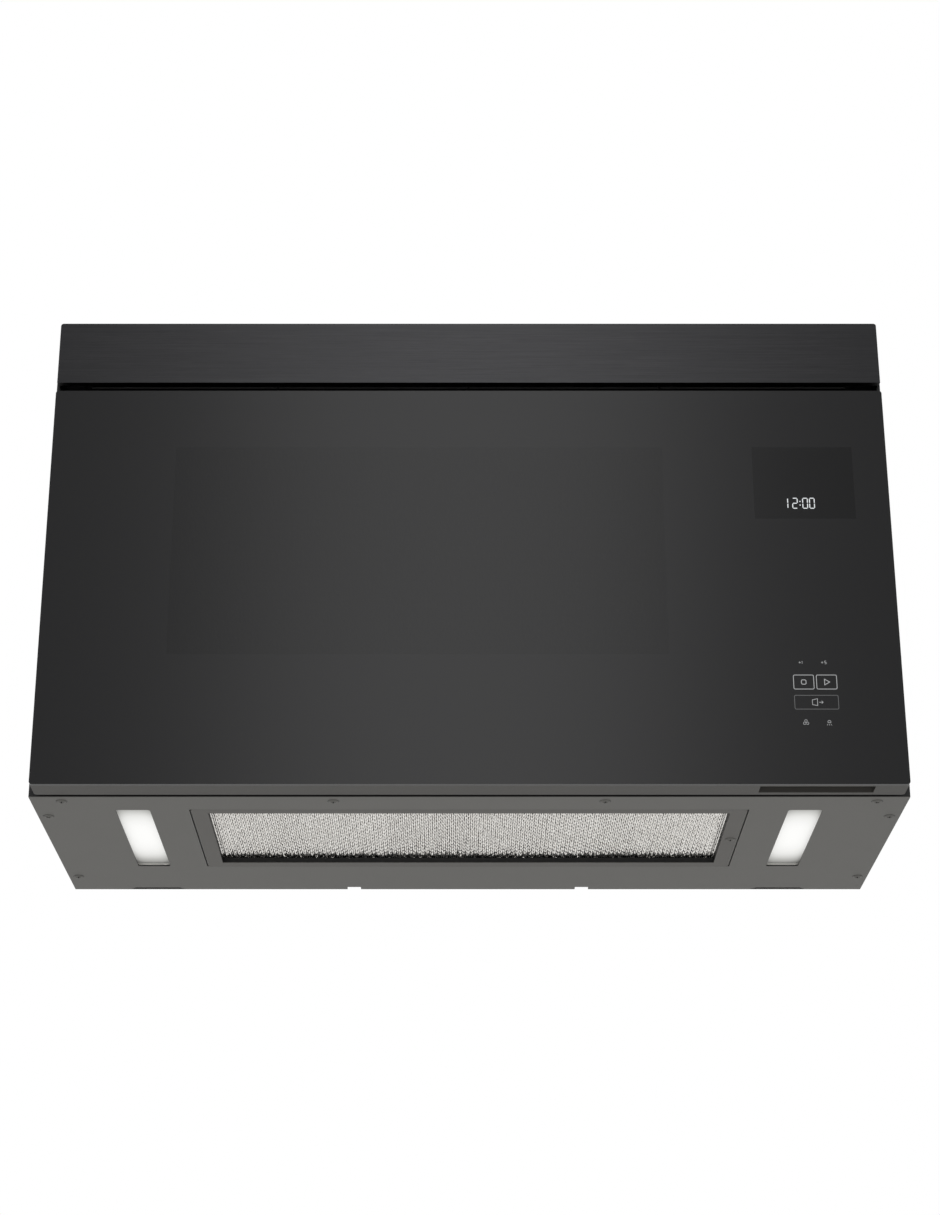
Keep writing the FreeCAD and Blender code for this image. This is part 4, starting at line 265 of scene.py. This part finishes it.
def clear_oven_glass(name):
    """The oven side's clear glass over a perforated steel screen: the round holes show through it.

    The holes are 1.4 mm wide on a 2.2 mm square pitch, drawn on the sheet behind the glass.
    """
    made, tree, shader, place = finish(name, {"IOR": 1.5, "Roughness": 0.06,
                                              "Specular IOR Level": 0.5})
    holes = add(tree, "ShaderNodeTexVoronoi", {"Vector": stretched(tree, place, (2.2, 80, 2.2)),
                                               "Scale": 1.0, "Randomness": 0.0}).outputs["Distance"]
    seen = inside(tree, place, WINDOW[0], WINDOW[1], 2.0)
    screen = ramp(tree, holes, 0.28, 0.36, [(0.0, linear("060606")), (1.0, linear("4a4a4b"))])
    tree.links.new(mixed(tree, seen, linear("161617"), screen), shader.inputs["Base Color"])
    return made


def frosted_lens(name):
    """A frosted cover lit from above by a short row of lamps: bright in the middle, dim at its ends.

    The glow falls with v^3 from the middle to the ends, and by a quarter of u^3 to the sides, where
    u and v run from -1 to 1 across and along each lens.
    """
    made, tree, shader, place = finish(name, {"Base Color": linear("8c8c8a"), "Roughness": 0.55,
                                              "IOR": 1.49, "Specular IOR Level": 0.2})
    low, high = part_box("right_light_lens")
    axes = add(tree, "ShaderNodeSeparateXYZ", {"Vector": place}).outputs
    across = reckon(tree, "ABSOLUTE", axes[0])
    fade = None
    for value, start, end, part in ((across, low.x, high.x, 0.25), (axes[1], low.y, high.y, 1.0)):
        share = add(tree, "ShaderNodeMapRange", {"Value": value, "From Min": start, "From Max": end,
                                                 "To Min": -1.0, "To Max": 1.0}).outputs[0]
        cube = reckon(tree, "POWER", reckon(tree, "ABSOLUTE", share), 3.0)
        fall = reckon(tree, "MULTIPLY", cube, part)
        fade = fall if fade is None else reckon(tree, "ADD", fade, fall)
    glow = ramp(tree, fade, 0.0, 1.0, [(0.0, linear("f4f4f3")), (0.3, linear("d8d8d6")),
                                       (0.6, linear("a3a3a0")), (1.0, linear("3c3b39"))])
    tree.links.new(glow, shader.inputs["Emission Color"])
    shader.inputs["Emission Strength"].default_value = 0.85
    return made


def oven_enamel(name):
    """Baked grey epoxy enamel of the oven: glossy, with a fine darker speckle."""
    made, tree, shader, place = finish(name, {"IOR": 1.5, "Specular IOR Level": 0.5})
    speckle = grain(tree, place, (1.2, 1.2, 1.2), 1.0)
    tone = ramp(tree, speckle, 0.3, 0.7,
                [(0.0, linear("7d7c78")), (0.25, linear("a3a29d")), (1.0, linear("adaca7"))])
    tree.links.new(tone, shader.inputs["Base Color"])
    vary(tree, shader, "Roughness", grain(tree, place, (9, 9, 9)), 0.24, 0.34)
    return made


def glass_ceramic(name):
    """The flat oven floor of white glass ceramic: smooth, bright and faintly mottled."""
    made, tree, shader, place = finish(name, {"IOR": 1.54, "Roughness": 0.16,
                                              "Subsurface Weight": 0.1,
                                              "Subsurface Radius": (0.004, 0.004, 0.004)})
    mottle = grain(tree, place, (4, 4, 4), 3.0)
    tone = mixed(tree, mottle, linear("d2d1cb"), linear("e2e1dc"))
    tree.links.new(tone, shader.inputs["Base Color"])
    return made


def varnished_core(name):
    """Stacked transformer steel under brown varnish: thin laminations edge on, each a shade apart."""
    made, tree, shader, place = finish(name, {"Metallic": 0.5, "Roughness": 0.42})
    sheets = grain(tree, place, (80, 80, 0.9), 1.0)
    tree.links.new(ramp(tree, sheets, 0.3, 0.7, [(0.0, linear("2b211a")), (1.0, linear("6d5a49"))]),
                   shader.inputs["Base Color"])
    roughen(tree, shader, sheets, 0.08, 0.6)
    return made


def circuit_board(name):
    """Green solder mask over copper tracks, which run level and upright under the gloss."""
    made, tree, shader, place = finish(name, {"IOR": 1.5, "Roughness": 0.3})
    tracks = add(tree, "ShaderNodeTexBrick",
                 {"Vector": stretched(tree, place, (1, 1, 1)), "Scale": 0.16, "Mortar Size": 0.06,
                  "Color1": linear("0f4d2c"), "Color2": linear("14603a"), "Mortar": linear("3c8a4e")})
    tree.links.new(tracks.outputs["Color"], shader.inputs["Base Color"])
    return made


def charcoal_granules(name):
    """Activated charcoal behind its black grille: dull grains 2 to 3 mm wide, painted darker towards
    their edges as painted shade between the grains.
    """
    made, tree, shader, place = finish(name, {"Roughness": 0.9, "Specular IOR Level": 0.2})
    grains = add(tree, "ShaderNodeTexVoronoi", {"Vector": stretched(tree, place, (2.6, 2.6, 2.6)),
                                                "Scale": 1.0}).outputs["Distance"]
    # painted shade: each grain is painted lighter in its middle and near black at its edges
    tree.links.new(ramp(tree, grains, 0.0, 0.7, [(0.0, linear("2a2a29")), (1.0, linear("0a0a0a"))]),
                   shader.inputs["Base Color"])
    roughen(tree, shader, grains, 1.0, 0.8)
    return made


def expanded_foil(name):
    """Bright annealed aluminium foil, slit and drawn into mesh: shiny strands with a warm cast.

    The layers deep in the pack are painted darker, as painted shade, from 2.6 to 3.8 mm in.
    """
    made, tree, shader, place = finish(name, {"Metallic": 1.0})
    crease = grain(tree, place, (1.8, 4.0, 1.8), 2.0)
    lit = ramp(tree, crease, 0.3, 0.7, [(0.0, linear("c9c5c0")), (1.0, linear("fbf9f6"))])
    low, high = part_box("grease_filter")
    # painted shade: the foil turns dark grey with depth into the pack
    depth = add(tree, "ShaderNodeMapRange",
                {"Value": add(tree, "ShaderNodeSeparateXYZ", {"Vector": place}).outputs[2],
                 "From Min": low.z + 2.6 * MM, "From Max": low.z + 3.8 * MM}).outputs[0]
    tree.links.new(mixed(tree, depth, lit, linear("4b4946")), shader.inputs["Base Color"])
    vary(tree, shader, "Roughness", crease, 0.14, 0.26)
    return made


FINISHES = {
    "black_paint": baked_paint("baked_black_paint", "141415", 0.42),
    # the underside's two paints carry painted shade above 0.25 mm
    "grey_paint": baked_paint("baked_grey_paint", "5f5e5b", 0.5, painted_shade_above_mm=0.25),
    "filter_paint": baked_paint("baked_filter_paint", "555350", 0.5, painted_shade_above_mm=0.25),
    "hinge_steel": baked_paint("dipped_black_steel", "232324", 0.4),
    "zinc_steel": galvanised_steel("galvanised_steel", "b9bcbf"),
    "zinc_screw": drawn_metal("zinc_plated_steel", "8d8c8a", 0.38),
    "aluminium": drawn_metal("drawn_aluminium", "d3d4d6", 0.36),
    "aluminium_mesh": expanded_foil("expanded_foil"),
    "black_stainless": brushed_black_stainless("brushed_black_stainless"),
    "black_plastic": moulded_plastic("moulded_black_plastic", "0f0f10"),
    "door_plastic": moulded_plastic("moulded_door_plastic", "3b3936"),
    "white_plastic": moulded_plastic("moulded_white_plastic", "d9d8d3", 0.42),
    "oven_enamel": oven_enamel("oven_enamel"),
    "white_ceramic": glass_ceramic("white_glass_ceramic"),
    "core_steel": varnished_core("varnished_core_steel"),
    "circuit_board": circuit_board("solder_masked_board"),
    "charcoal": charcoal_granules("charcoal_granules"),
    "light_lens": frosted_lens("frosted_lens"),
    "black_glass": printed_black_glass("printed_black_glass"),
    "inner_glass": clear_oven_glass("clear_oven_glass"),
}

for part in frame["record"]["subparts"]:
    if part["node"] in frame["nodes"]:
        mesh = frame["nodes"][part["node"]].data
        mesh.materials.clear()
        mesh.materials.append(FINISHES[part["material_slot"]])


# ---------------------------------------------------------------- small pieces

def piece(name, points, faces, body, slot, replaced=(), smooth=False, look=None):
    """A piece from arrays of corners and faces, on a body of the frame, in its slot's finish."""
    mesh = bpy.data.meshes.new(name)
    mesh.from_pydata(np.asarray(points).tolist(), [], [list(map(int, face)) for face in faces])
    mesh.polygons.foreach_set("use_smooth", [smooth] * len(mesh.polygons))
    mesh.materials.append(look or FINISHES[slot])
    made = bpy.data.objects.new(name, mesh)
    bpy.context.scene.collection.objects.link(made)
    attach(made, body)
    if replaced:
        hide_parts(*replaced)
    return made


def net(rows, columns, closed=False):
    """The four-sided faces of a grid of points: cell (i, j) joins rows i, i+1 and columns j, j+1."""
    last = columns if closed else columns - 1
    i, j = np.meshgrid(np.arange(rows - 1), np.arange(last), indexing="ij")
    k = (j + 1) % columns
    return np.stack([i * columns + j, i * columns + k, (i + 1) * columns + k, (i + 1) * columns + j],
                    axis=-1).reshape(-1, 4)


def joined(parts):
    """Several (points, faces) as one, each part's faces counted on from the points before it."""
    points, faces, count = [], [], 0
    for corners, sides in parts:
        points.append(corners)
        faces += [[count + at for at in side] for side in np.asarray(sides).tolist()]
        count += len(corners)
    return np.concatenate(points), faces


# The grease filter's foil is slit and drawn into diamonds, in mm. They are larger than real ones,
# which are taken to be about 3 mm, so as to show from where the hood is seen.
CELL_WIDE = 3.8
CELL_LONG = 10.4
STRAND = 1.3
FOIL_STEP = 1.4          # from one layer to the next
WAVE = 0.45              # how far the nodes lie over and under a layer's level
CHEVRON = 74.0           # how far the foil lies one way before its slant turns over
SLANT = 1.37             # how far the nodes shift along y for each mm across, within a band
STRAY = 0.12             # how far a node strays across and up, as a standard deviation
STRAY_LONG = 0.5         # and along y
FOIL_LIFT = 0.9          # from the underside of the filter to the first layer
CRUMPLE = 0.3            # how far the pack behind is crumpled
BACK_GRID = (150, 54)    # its points across X and Y


def foil_layer(low, high, level, shift, seed):
    """One layer of drawn foil: strand k runs along y at x = k w/2 + (-1)^(k+j) s at its j-th node.

    w is the cell's width and s the half of what the strand leaves of it, so neighbours touch at
    every second node. The nodes rise and fall in turn by WAVE, each strand is bent up along its
    middle, and each node is pulled a little out of place. The nodes shift along y by a triangle
    wave over x, which slants the rows of holes.
    """
    start, end = low.x / MM, high.x / MM
    spines = np.arange(start + CELL_WIDE / 2, end - CELL_WIDE / 2, CELL_WIDE / 2)
    steps = np.arange(low.y / MM - CELL_LONG, high.y / MM + CELL_LONG, CELL_LONG / 2)
    x, y = np.meshgrid(spines, steps, indexing="ij")
    k, j = np.meshgrid(np.arange(len(spines)), np.arange(len(steps)), indexing="ij")
    rng = np.random.default_rng(seed)
    side = np.where((k + j) % 2 == 0, 1.0, -1.0) * (CELL_WIDE / 2 - STRAND) / 2
    slide = (np.abs(((x + shift) / CHEVRON) % 2 - 1) * CHEVRON * SLANT) % CELL_LONG
    y = np.clip(y + slide + rng.normal(0.0, STRAY_LONG, x.shape), low.y / MM, high.y / MM)
    z = level + np.where(j % 2 == 0, WAVE, -WAVE) + rng.normal(0.0, STRAY, x.shape)
    spine = np.stack([x + side + rng.normal(0.0, STRAY, x.shape), y, z], axis=-1)
    across = np.array([-0.5, 0.0, 0.5]) * STRAND
    ridge = np.array([0.0, -STRAND / 5, 0.0])
    points = spine[:, None] + np.stack([across, 0 * across, ridge], axis=-1)[None, :, None]
    strip = net(3, len(steps))
    faces = (strip[None] + (np.arange(len(spines)) * 3 * len(steps))[:, None, None]).reshape(-1, 4)
    return points.reshape(-1, 3) * MM, faces


def grease_mesh():
    """The filter's two outer layers of foil, over the crumpled pack of the layers behind them."""
    low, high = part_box("grease_filter")
    bottom = low.z / MM + FOIL_LIFT
    layers = [foil_layer(low, high, bottom, 0.0, 5),
              foil_layer(low, high, bottom + FOIL_STEP, 31.0, 6)]
    x, y = np.meshgrid(np.linspace(low.x, high.x, BACK_GRID[0]),
                       np.linspace(low.y, high.y, BACK_GRID[1]), indexing="ij")
    crumple = np.random.default_rng(3).normal(0.0, CRUMPLE, x.shape)
    back = np.stack([x, y, (bottom + 2.2 * FOIL_STEP + crumple) * MM], axis=-1)
    top = np.stack([x, y, np.full(x.shape, high.z)], axis=-1)
    edge = np.zeros(x.shape, bool)
    edge[[0, -1], :] = True
    edge[:, [0, -1]] = True
    back[edge] = top[edge]
    layers.append((back.reshape(-1, 3), net(*BACK_GRID)[:, ::-1]))
    points, faces = joined(layers)
    return piece("foil_mesh", points, faces, "case", "aluminium_mesh", ("grease_filter",))


grease_mesh()


# A truss-head screw seen from its head, in mm.
HEAD_WIDE = 9.0
HEAD_HIGH = 1.5
CROSS_LONG = 4.8
CROSS_WIDE = 1.2
CROSS_DEEP = 1.2
RIM_WIDE = 10.2          # the ring of painted shade in the gap round the head
RIM_LIFT = 0.03
EDGE_HIGH = 0.2          # the upright edge of the head
CROSS_SLOPE = 0.25       # the width of the slope at the cross's edge


def screw_head(x, y, turn):
    """A low dome with a cross cut in it, facing down, and which of its faces are dark.

    z = -(HEAD_HIGH - EDGE_HIGH) (1 - s^2)^0.8 - EDGE_HIGH over the share s of the radius, and inside
    the cross the surface sinks by CROSS_DEEP with a short slope at its edge. The last ring of faces
    is the gap round the head, flat on the panel. The dark faces are that ring and the cross's: painted
    shade in the gap and in the recess.
    """
    share = np.concatenate([np.linspace(0.0, 0.62, 15), np.linspace(0.68, 1.0, 7),
                            [1.0, RIM_WIDE / HEAD_WIDE]])
    angle = np.linspace(0, 2 * math.pi, 72, endpoint=False)
    s, a = np.meshgrid(share, angle, indexing="ij")
    px, py = s * np.cos(a) * HEAD_WIDE / 2, s * np.sin(a) * HEAD_WIDE / 2

    def bar(u, v):
        """1 within a bar along u, falling to 0 over the slope."""
        return (np.clip((CROSS_LONG / 2 - np.abs(u)) / CROSS_SLOPE, 0, 1)
                * np.clip((CROSS_WIDE / 2 - np.abs(v)) / CROSS_SLOPE, 0, 1))

    sunk = np.maximum(bar(px, py), bar(py, px))
    dome = np.clip(1 - s ** 2, 0, 1) ** 0.8
    pz = -(HEAD_HIGH - EDGE_HIGH) * dome - EDGE_HIGH + sunk * CROSS_DEEP
    pz[-2:] = -RIM_LIFT
    cos, sin = math.cos(turn), math.sin(turn)
    points = np.stack([x + px * cos - py * sin, y + px * sin + py * cos, pz], axis=-1) * MM
    faces = net(len(share), len(angle), closed=True)
    # painted shade: the cross's sunk faces and the ring round the head take the second, black finish
    dark = sunk.reshape(-1)[faces].mean(1) > 0.4
    dark[-len(angle):] = True
    return points.reshape(-1, 3), faces, dark


def screws(name, node, rng):
    """Every screw of a node, each with its cross turned its own way."""
    co = np.array([vertex.co for vertex in frame["nodes"][node].data.vertices])
    lowest = co[co[:, 2] < co[:, 2].min() + 0.1 * MM]
    places = []
    for spot in lowest[:, :2]:
        if all(np.hypot(*(spot - other[0])) > 2 * HEAD_WIDE * MM for other in places):
            near = lowest[np.hypot(*(lowest[:, :2] - spot).T) < 1.2 * HEAD_WIDE * MM, :2]
            places.append((spot, (near.min(0) + near.max(0)) / 2 / MM))
    heads = [screw_head(*middle, rng.uniform(0, math.pi / 2)) for _, middle in places]
    points, faces = joined([head[:2] for head in heads])
    made = piece(name, points, faces, "case", "grey_paint", (node,))
    # the black finish, for the painted shade in the crosses and in the gaps round the heads
    made.data.materials.append(FINISHES["black_plastic"])
    dark = np.concatenate([head[2] for head in heads]).astype(int)
    made.data.polygons.foreach_set("material_index", dark)
    return made


turns = np.random.default_rng(11)
screws("base_screw_heads", "base_screws", turns)
screws("filter_screw_head", "filter_screw", turns)


# ---------------------------------------------------------------- marks on the glass

def lit_ink(name, colour, glow):
    """White marks lit from behind the black print: they glow softly and evenly."""
    made, tree, shader, place = finish(name, {"Base Color": linear("2a2a2a"), "Roughness": 0.3,
                                              "Emission Strength": glow})
    soft = grain(tree, place, (0.8, 0.8, 0.8))
    base = linear(colour)
    dim = [c * 0.85 for c in base[:3]] + [1.0]
    tree.links.new(mixed(tree, soft, dim, base), shader.inputs["Emission Color"])
    return made


MARK_LIFT = 0.04         # the print's thickness in front of the glass
STEPS = 28


def stroke(points, wide, closed=False):
    """A flat line of even width through points (X, Z), mitred at its corners.

    Each corner moves out along the bisector by half the width over the cosine of half the turn.
    """
    line = np.asarray(points, float)
    ahead = np.roll(line, -1, axis=0) - line
    behind = line - np.roll(line, 1, axis=0)
    if not closed:
        ahead[-1] = behind[-1]
        behind[0] = ahead[0]
    ahead /= np.linalg.norm(ahead, axis=1)[:, None]
    behind /= np.linalg.norm(behind, axis=1)[:, None]
    side = np.stack([-(ahead + behind)[:, 1], (ahead + behind)[:, 0]], axis=1)
    side /= np.linalg.norm(side, axis=1)[:, None]
    reach = wide / 2 / np.maximum(np.abs(side[:, 0] * -ahead[:, 1] + side[:, 1] * ahead[:, 0]), 0.4)
    edges = np.stack([line + side * reach[:, None], line - side * reach[:, None]])
    return edges.reshape(-1, 2), net(2, len(line), closed)


def arc(x, z, radius, start, end):
    """Points on a circle about (x, z), from one angle to another in degrees."""
    angle = np.radians(np.linspace(start, end, STEPS))
    return np.stack([x + radius * np.cos(angle), z + radius * np.sin(angle)], axis=1)


def marks(name, strokes, look, slot="black_glass"):
    """Flat strokes set on the front of the door's glass."""
    flat, faces = joined(strokes)
    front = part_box("door_glass")[0].y - MARK_LIFT * MM
    points = np.stack([flat[:, 0] * MM, np.full(len(flat), front), flat[:, 1] * MM], axis=1)
    return piece(name, points, faces, "door", slot, look=look)


# Seven bars make a digit: each is a line between two corners of a 1 by 2 cell.
BARS = {"a": ((0, 2), (1, 2)), "b": ((1, 2), (1, 1)), "c": ((1, 1), (1, 0)), "d": ((1, 0), (0, 0)),
        "e": ((0, 0), (0, 1)), "f": ((0, 1), (0, 2)), "g": ((0, 1), (1, 1))}
LIT = {"0": "abcdef", "1": "bc", "2": "abged", "5": "afgcd"}


def digit(figure, left, low, wide, high, line):
    """The lit bars of a digit, each drawn a little short of its corners."""
    strokes = []
    for bar in LIT[figure]:
        start, end = (np.array(corner, float) for corner in BARS[bar])
        short = (end - start) * 0.09
        ends = np.array([start + short, end - short]) * (wide, high / 2) + (left, low)
        strokes.append(stroke(ends, line))
    return strokes


CLOCK_LEFT = 281.5
CLOCK_LOW = 255.0
DIGIT_WIDE = 4.2
DIGIT_HIGH = 9.7
clock = []
for figure, left in zip("1200", (0.0, 5.9, 14.9, 21.0)):
    clock += digit(figure, CLOCK_LEFT + left - (2.6 if figure == "1" else 0), CLOCK_LOW, DIGIT_WIDE,
                   DIGIT_HIGH, 0.85)
for up in (0.32, 0.68):
    dot = CLOCK_LOW + up * DIGIT_HIGH
    clock.append(stroke([(CLOCK_LEFT + 12.5, dot - 0.5), (CLOCK_LEFT + 12.5, dot + 0.5)], 1.0))
marks("clock_digits", clock, lit_ink("clock_light", "eef2f4", 0.9))


def frame_of(left, right, low, high, wide):
    """A thin box with rounded corners, as one closed stroke."""
    turn = 1.2
    corners = [arc(right - turn, high - turn, turn, 0, 90),
               arc(left + turn, high - turn, turn, 90, 180),
               arc(left + turn, low + turn, turn, 180, 270),
               arc(right - turn, low + turn, turn, 270, 360)]
    return stroke(np.concatenate(corners), wide, closed=True)


def plus_figure(figure, left, low):
    """A plus sign and a small digit."""
    return [stroke([(left, low + 1.2), (left + 1.8, low + 1.2)], 0.4),
            stroke([(left + 0.9, low + 0.3), (left + 0.9, low + 2.1)], 0.4)] + \
        digit(figure, left + (1.6 if figure == "1" else 3.0), low, 1.4, 2.6, 0.42)


def fan_sign(x, z, radius):
    """Three curved blades round a hub."""
    blades = [stroke(arc(x, z, radius * 0.22, 0, 359), 0.35)]
    for turn in (90, 210, 330):
        angle = math.radians(turn)
        middle = (x + radius * 0.55 * math.cos(angle), z + radius * 0.55 * math.sin(angle))
        blades.append(stroke(arc(*middle, radius * 0.42, turn - 120, turn + 130), 0.35))
    return blades


def lamp_sign(x, z, radius):
    """A bulb with three rays under it."""
    rays = [stroke([(x + 0.5 * radius * u, z - 0.5 * radius), (x + 0.8 * radius * u, z - radius)],
                   0.35) for u in (-1, 0, 1)]
    return rays + [stroke(arc(x, z + 0.2 * radius, radius * 0.5, -30, 210), 0.4, closed=True)]


faint = lit_ink("touch_light", "d8dadb", 0.55)
marks("touch_more_time", plus_figure("1", 284.6, 108.3) + plus_figure("5", 304.0, 108.3), faint)
stop_sign = [frame_of(279.3, 296.7, 85.2, 98.0, 0.55), frame_of(286.0, 290.0, 89.6, 93.6, 0.6)]
start_sign = [frame_of(299.1, 316.5, 85.2, 98.0, 0.55),
              stroke([(306.0, 89.0), (306.0, 94.2), (310.4, 91.6)], 0.6, closed=True)]
marks("touch_start_stop", stop_sign + start_sign, faint)
dim = lit_ink("touch_dim_light", "8a8c8d", 0.3)
marks("touch_door_box", [frame_of(279.3, 316.9, 67.0, 79.5, 0.45)], dim)
door_sign = [stroke([(294.5, 71.0), (294.5, 75.4), (298.9, 76.4), (298.9, 70.2)], 0.45, closed=True),
             stroke([(300.4, 73.2), (303.6, 73.2)], 0.45),
             stroke([(302.4, 74.4), (303.6, 73.2), (302.4, 72.0)], 0.45)]
marks("touch_door_open", door_sign, faint)
marks("touch_fan", fan_sign(288.0, 54.9, 2.6), faint)
marks("touch_light", lamp_sign(308.0, 54.9, 2.6), faint)


# ---------------------------------------------------------------- light and camera

FLOOR_LIFT = 0.35        # what the eye and the gloss see of the floor beyond its lit colour


def matt(name, colour):
    """A plain matt floor that the eye and the gloss see as white, and that keeps its shadows."""
    made, tree, shader, place = finish(name, {"Roughness": 0.9, "Specular IOR Level": 0.1})
    cloud = grain(tree, place, (900, 900, 900))
    base = linear(colour)
    darker = [c * 0.97 for c in base[:3]] + [1.0]
    tree.links.new(mixed(tree, cloud, darker, base), shader.inputs["Base Color"])
    ray = add(tree, "ShaderNodeLightPath").outputs
    seen = reckon(tree, "MAXIMUM", ray["Is Camera Ray"], ray["Is Glossy Ray"])
    shader.inputs["Emission Color"].default_value = linear("ffffff")
    tree.links.new(reckon(tree, "MULTIPLY", seen, FLOOR_LIFT), shader.inputs["Emission Strength"])
    return made


FLOOR_DROP = 1.37        # from the underside down to the kitchen floor, 54 in
FLOOR_HALF = 9.0

floor_mesh = bpy.data.meshes.new("floor")
corners = np.array([(-1, -1), (1, -1), (1, 1), (-1, 1)]) * FLOOR_HALF
floor_mesh.from_pydata([(x, y, -FLOOR_DROP) for x, y in corners], [], [(0, 1, 2, 3)])
floor_mesh.materials.append(matt("pale_floor", "e8e8e6"))
floor = bpy.data.objects.new("floor", floor_mesh)
bpy.context.scene.collection.objects.link(floor)

world = bpy.data.worlds.new("white_room")
bpy.context.scene.world = world
world.use_nodes = True
sky = world.node_tree
sky.nodes.clear()
ray = add(sky, "ShaderNodeLightPath").outputs
seen = reckon(sky, "MAXIMUM", ray["Is Camera Ray"],
              reckon(sky, "MAXIMUM", ray["Is Glossy Ray"], ray["Is Transmission Ray"]))
DAYLIGHT = 0.62
strength = add(sky, "ShaderNodeMapRange",
               {"Value": seen, "To Min": DAYLIGHT, "To Max": 1.0}).outputs[0]
white = add(sky, "ShaderNodeBackground", {"Color": linear("ffffff"), "Strength": strength})
add(sky, "ShaderNodeOutputWorld", {"Surface": white.outputs[0]})


def softbox(name, place, aim, size, watts):
    """A soft lamp of that width and height at a place, turned to its aim."""
    lamp = bpy.data.lights.new(name, "AREA")
    lamp.shape = "RECTANGLE"
    lamp.size, lamp.size_y = size
    lamp.energy = watts
    holder = bpy.data.objects.new(name, lamp)
    holder.location = place
    holder.rotation_euler = (Vector(aim) - Vector(place)).to_track_quat("-Z", "Y").to_euler()
    holder.visible_camera = False
    bpy.context.scene.collection.objects.link(holder)


softbox("front_strip", (0.0, -3.2, 1.3), (0.0, -0.3, 0.3), (0.9, 3.4), 34.0)
softbox("low_fill", (0.0, -2.2, -1.2), (0.0, -0.2, 0.0), (2.4, 1.2), 22.0)

# The photograph's camera, from the vanishing points of the object's edges.
PICTURE = (940, 1215)
CENTRE = (455.2, 500.0)
FOCAL = 2557.3
PITCH = math.radians(23.82)
SENSOR = 36.0

lens = bpy.data.cameras.new("camera")
lens.sensor_fit = "VERTICAL"
lens.sensor_height = SENSOR
lens.lens = FOCAL / PICTURE[1] * SENSOR
lens.shift_x = (PICTURE[0] / 2 - CENTRE[0]) / PICTURE[1]
lens.shift_y = (CENTRE[1] - PICTURE[1] / 2) / PICTURE[1]
camera = bpy.data.objects.new("camera", lens)
camera.location = (-0.0122, -2.4150, -0.6546)
camera.rotation_euler = (math.pi / 2 + PITCH, 0.0, 0.0)
bpy.context.scene.collection.objects.link(camera)
bpy.context.scene.camera = camera
bpy.context.scene.view_settings.view_transform = "Standard"
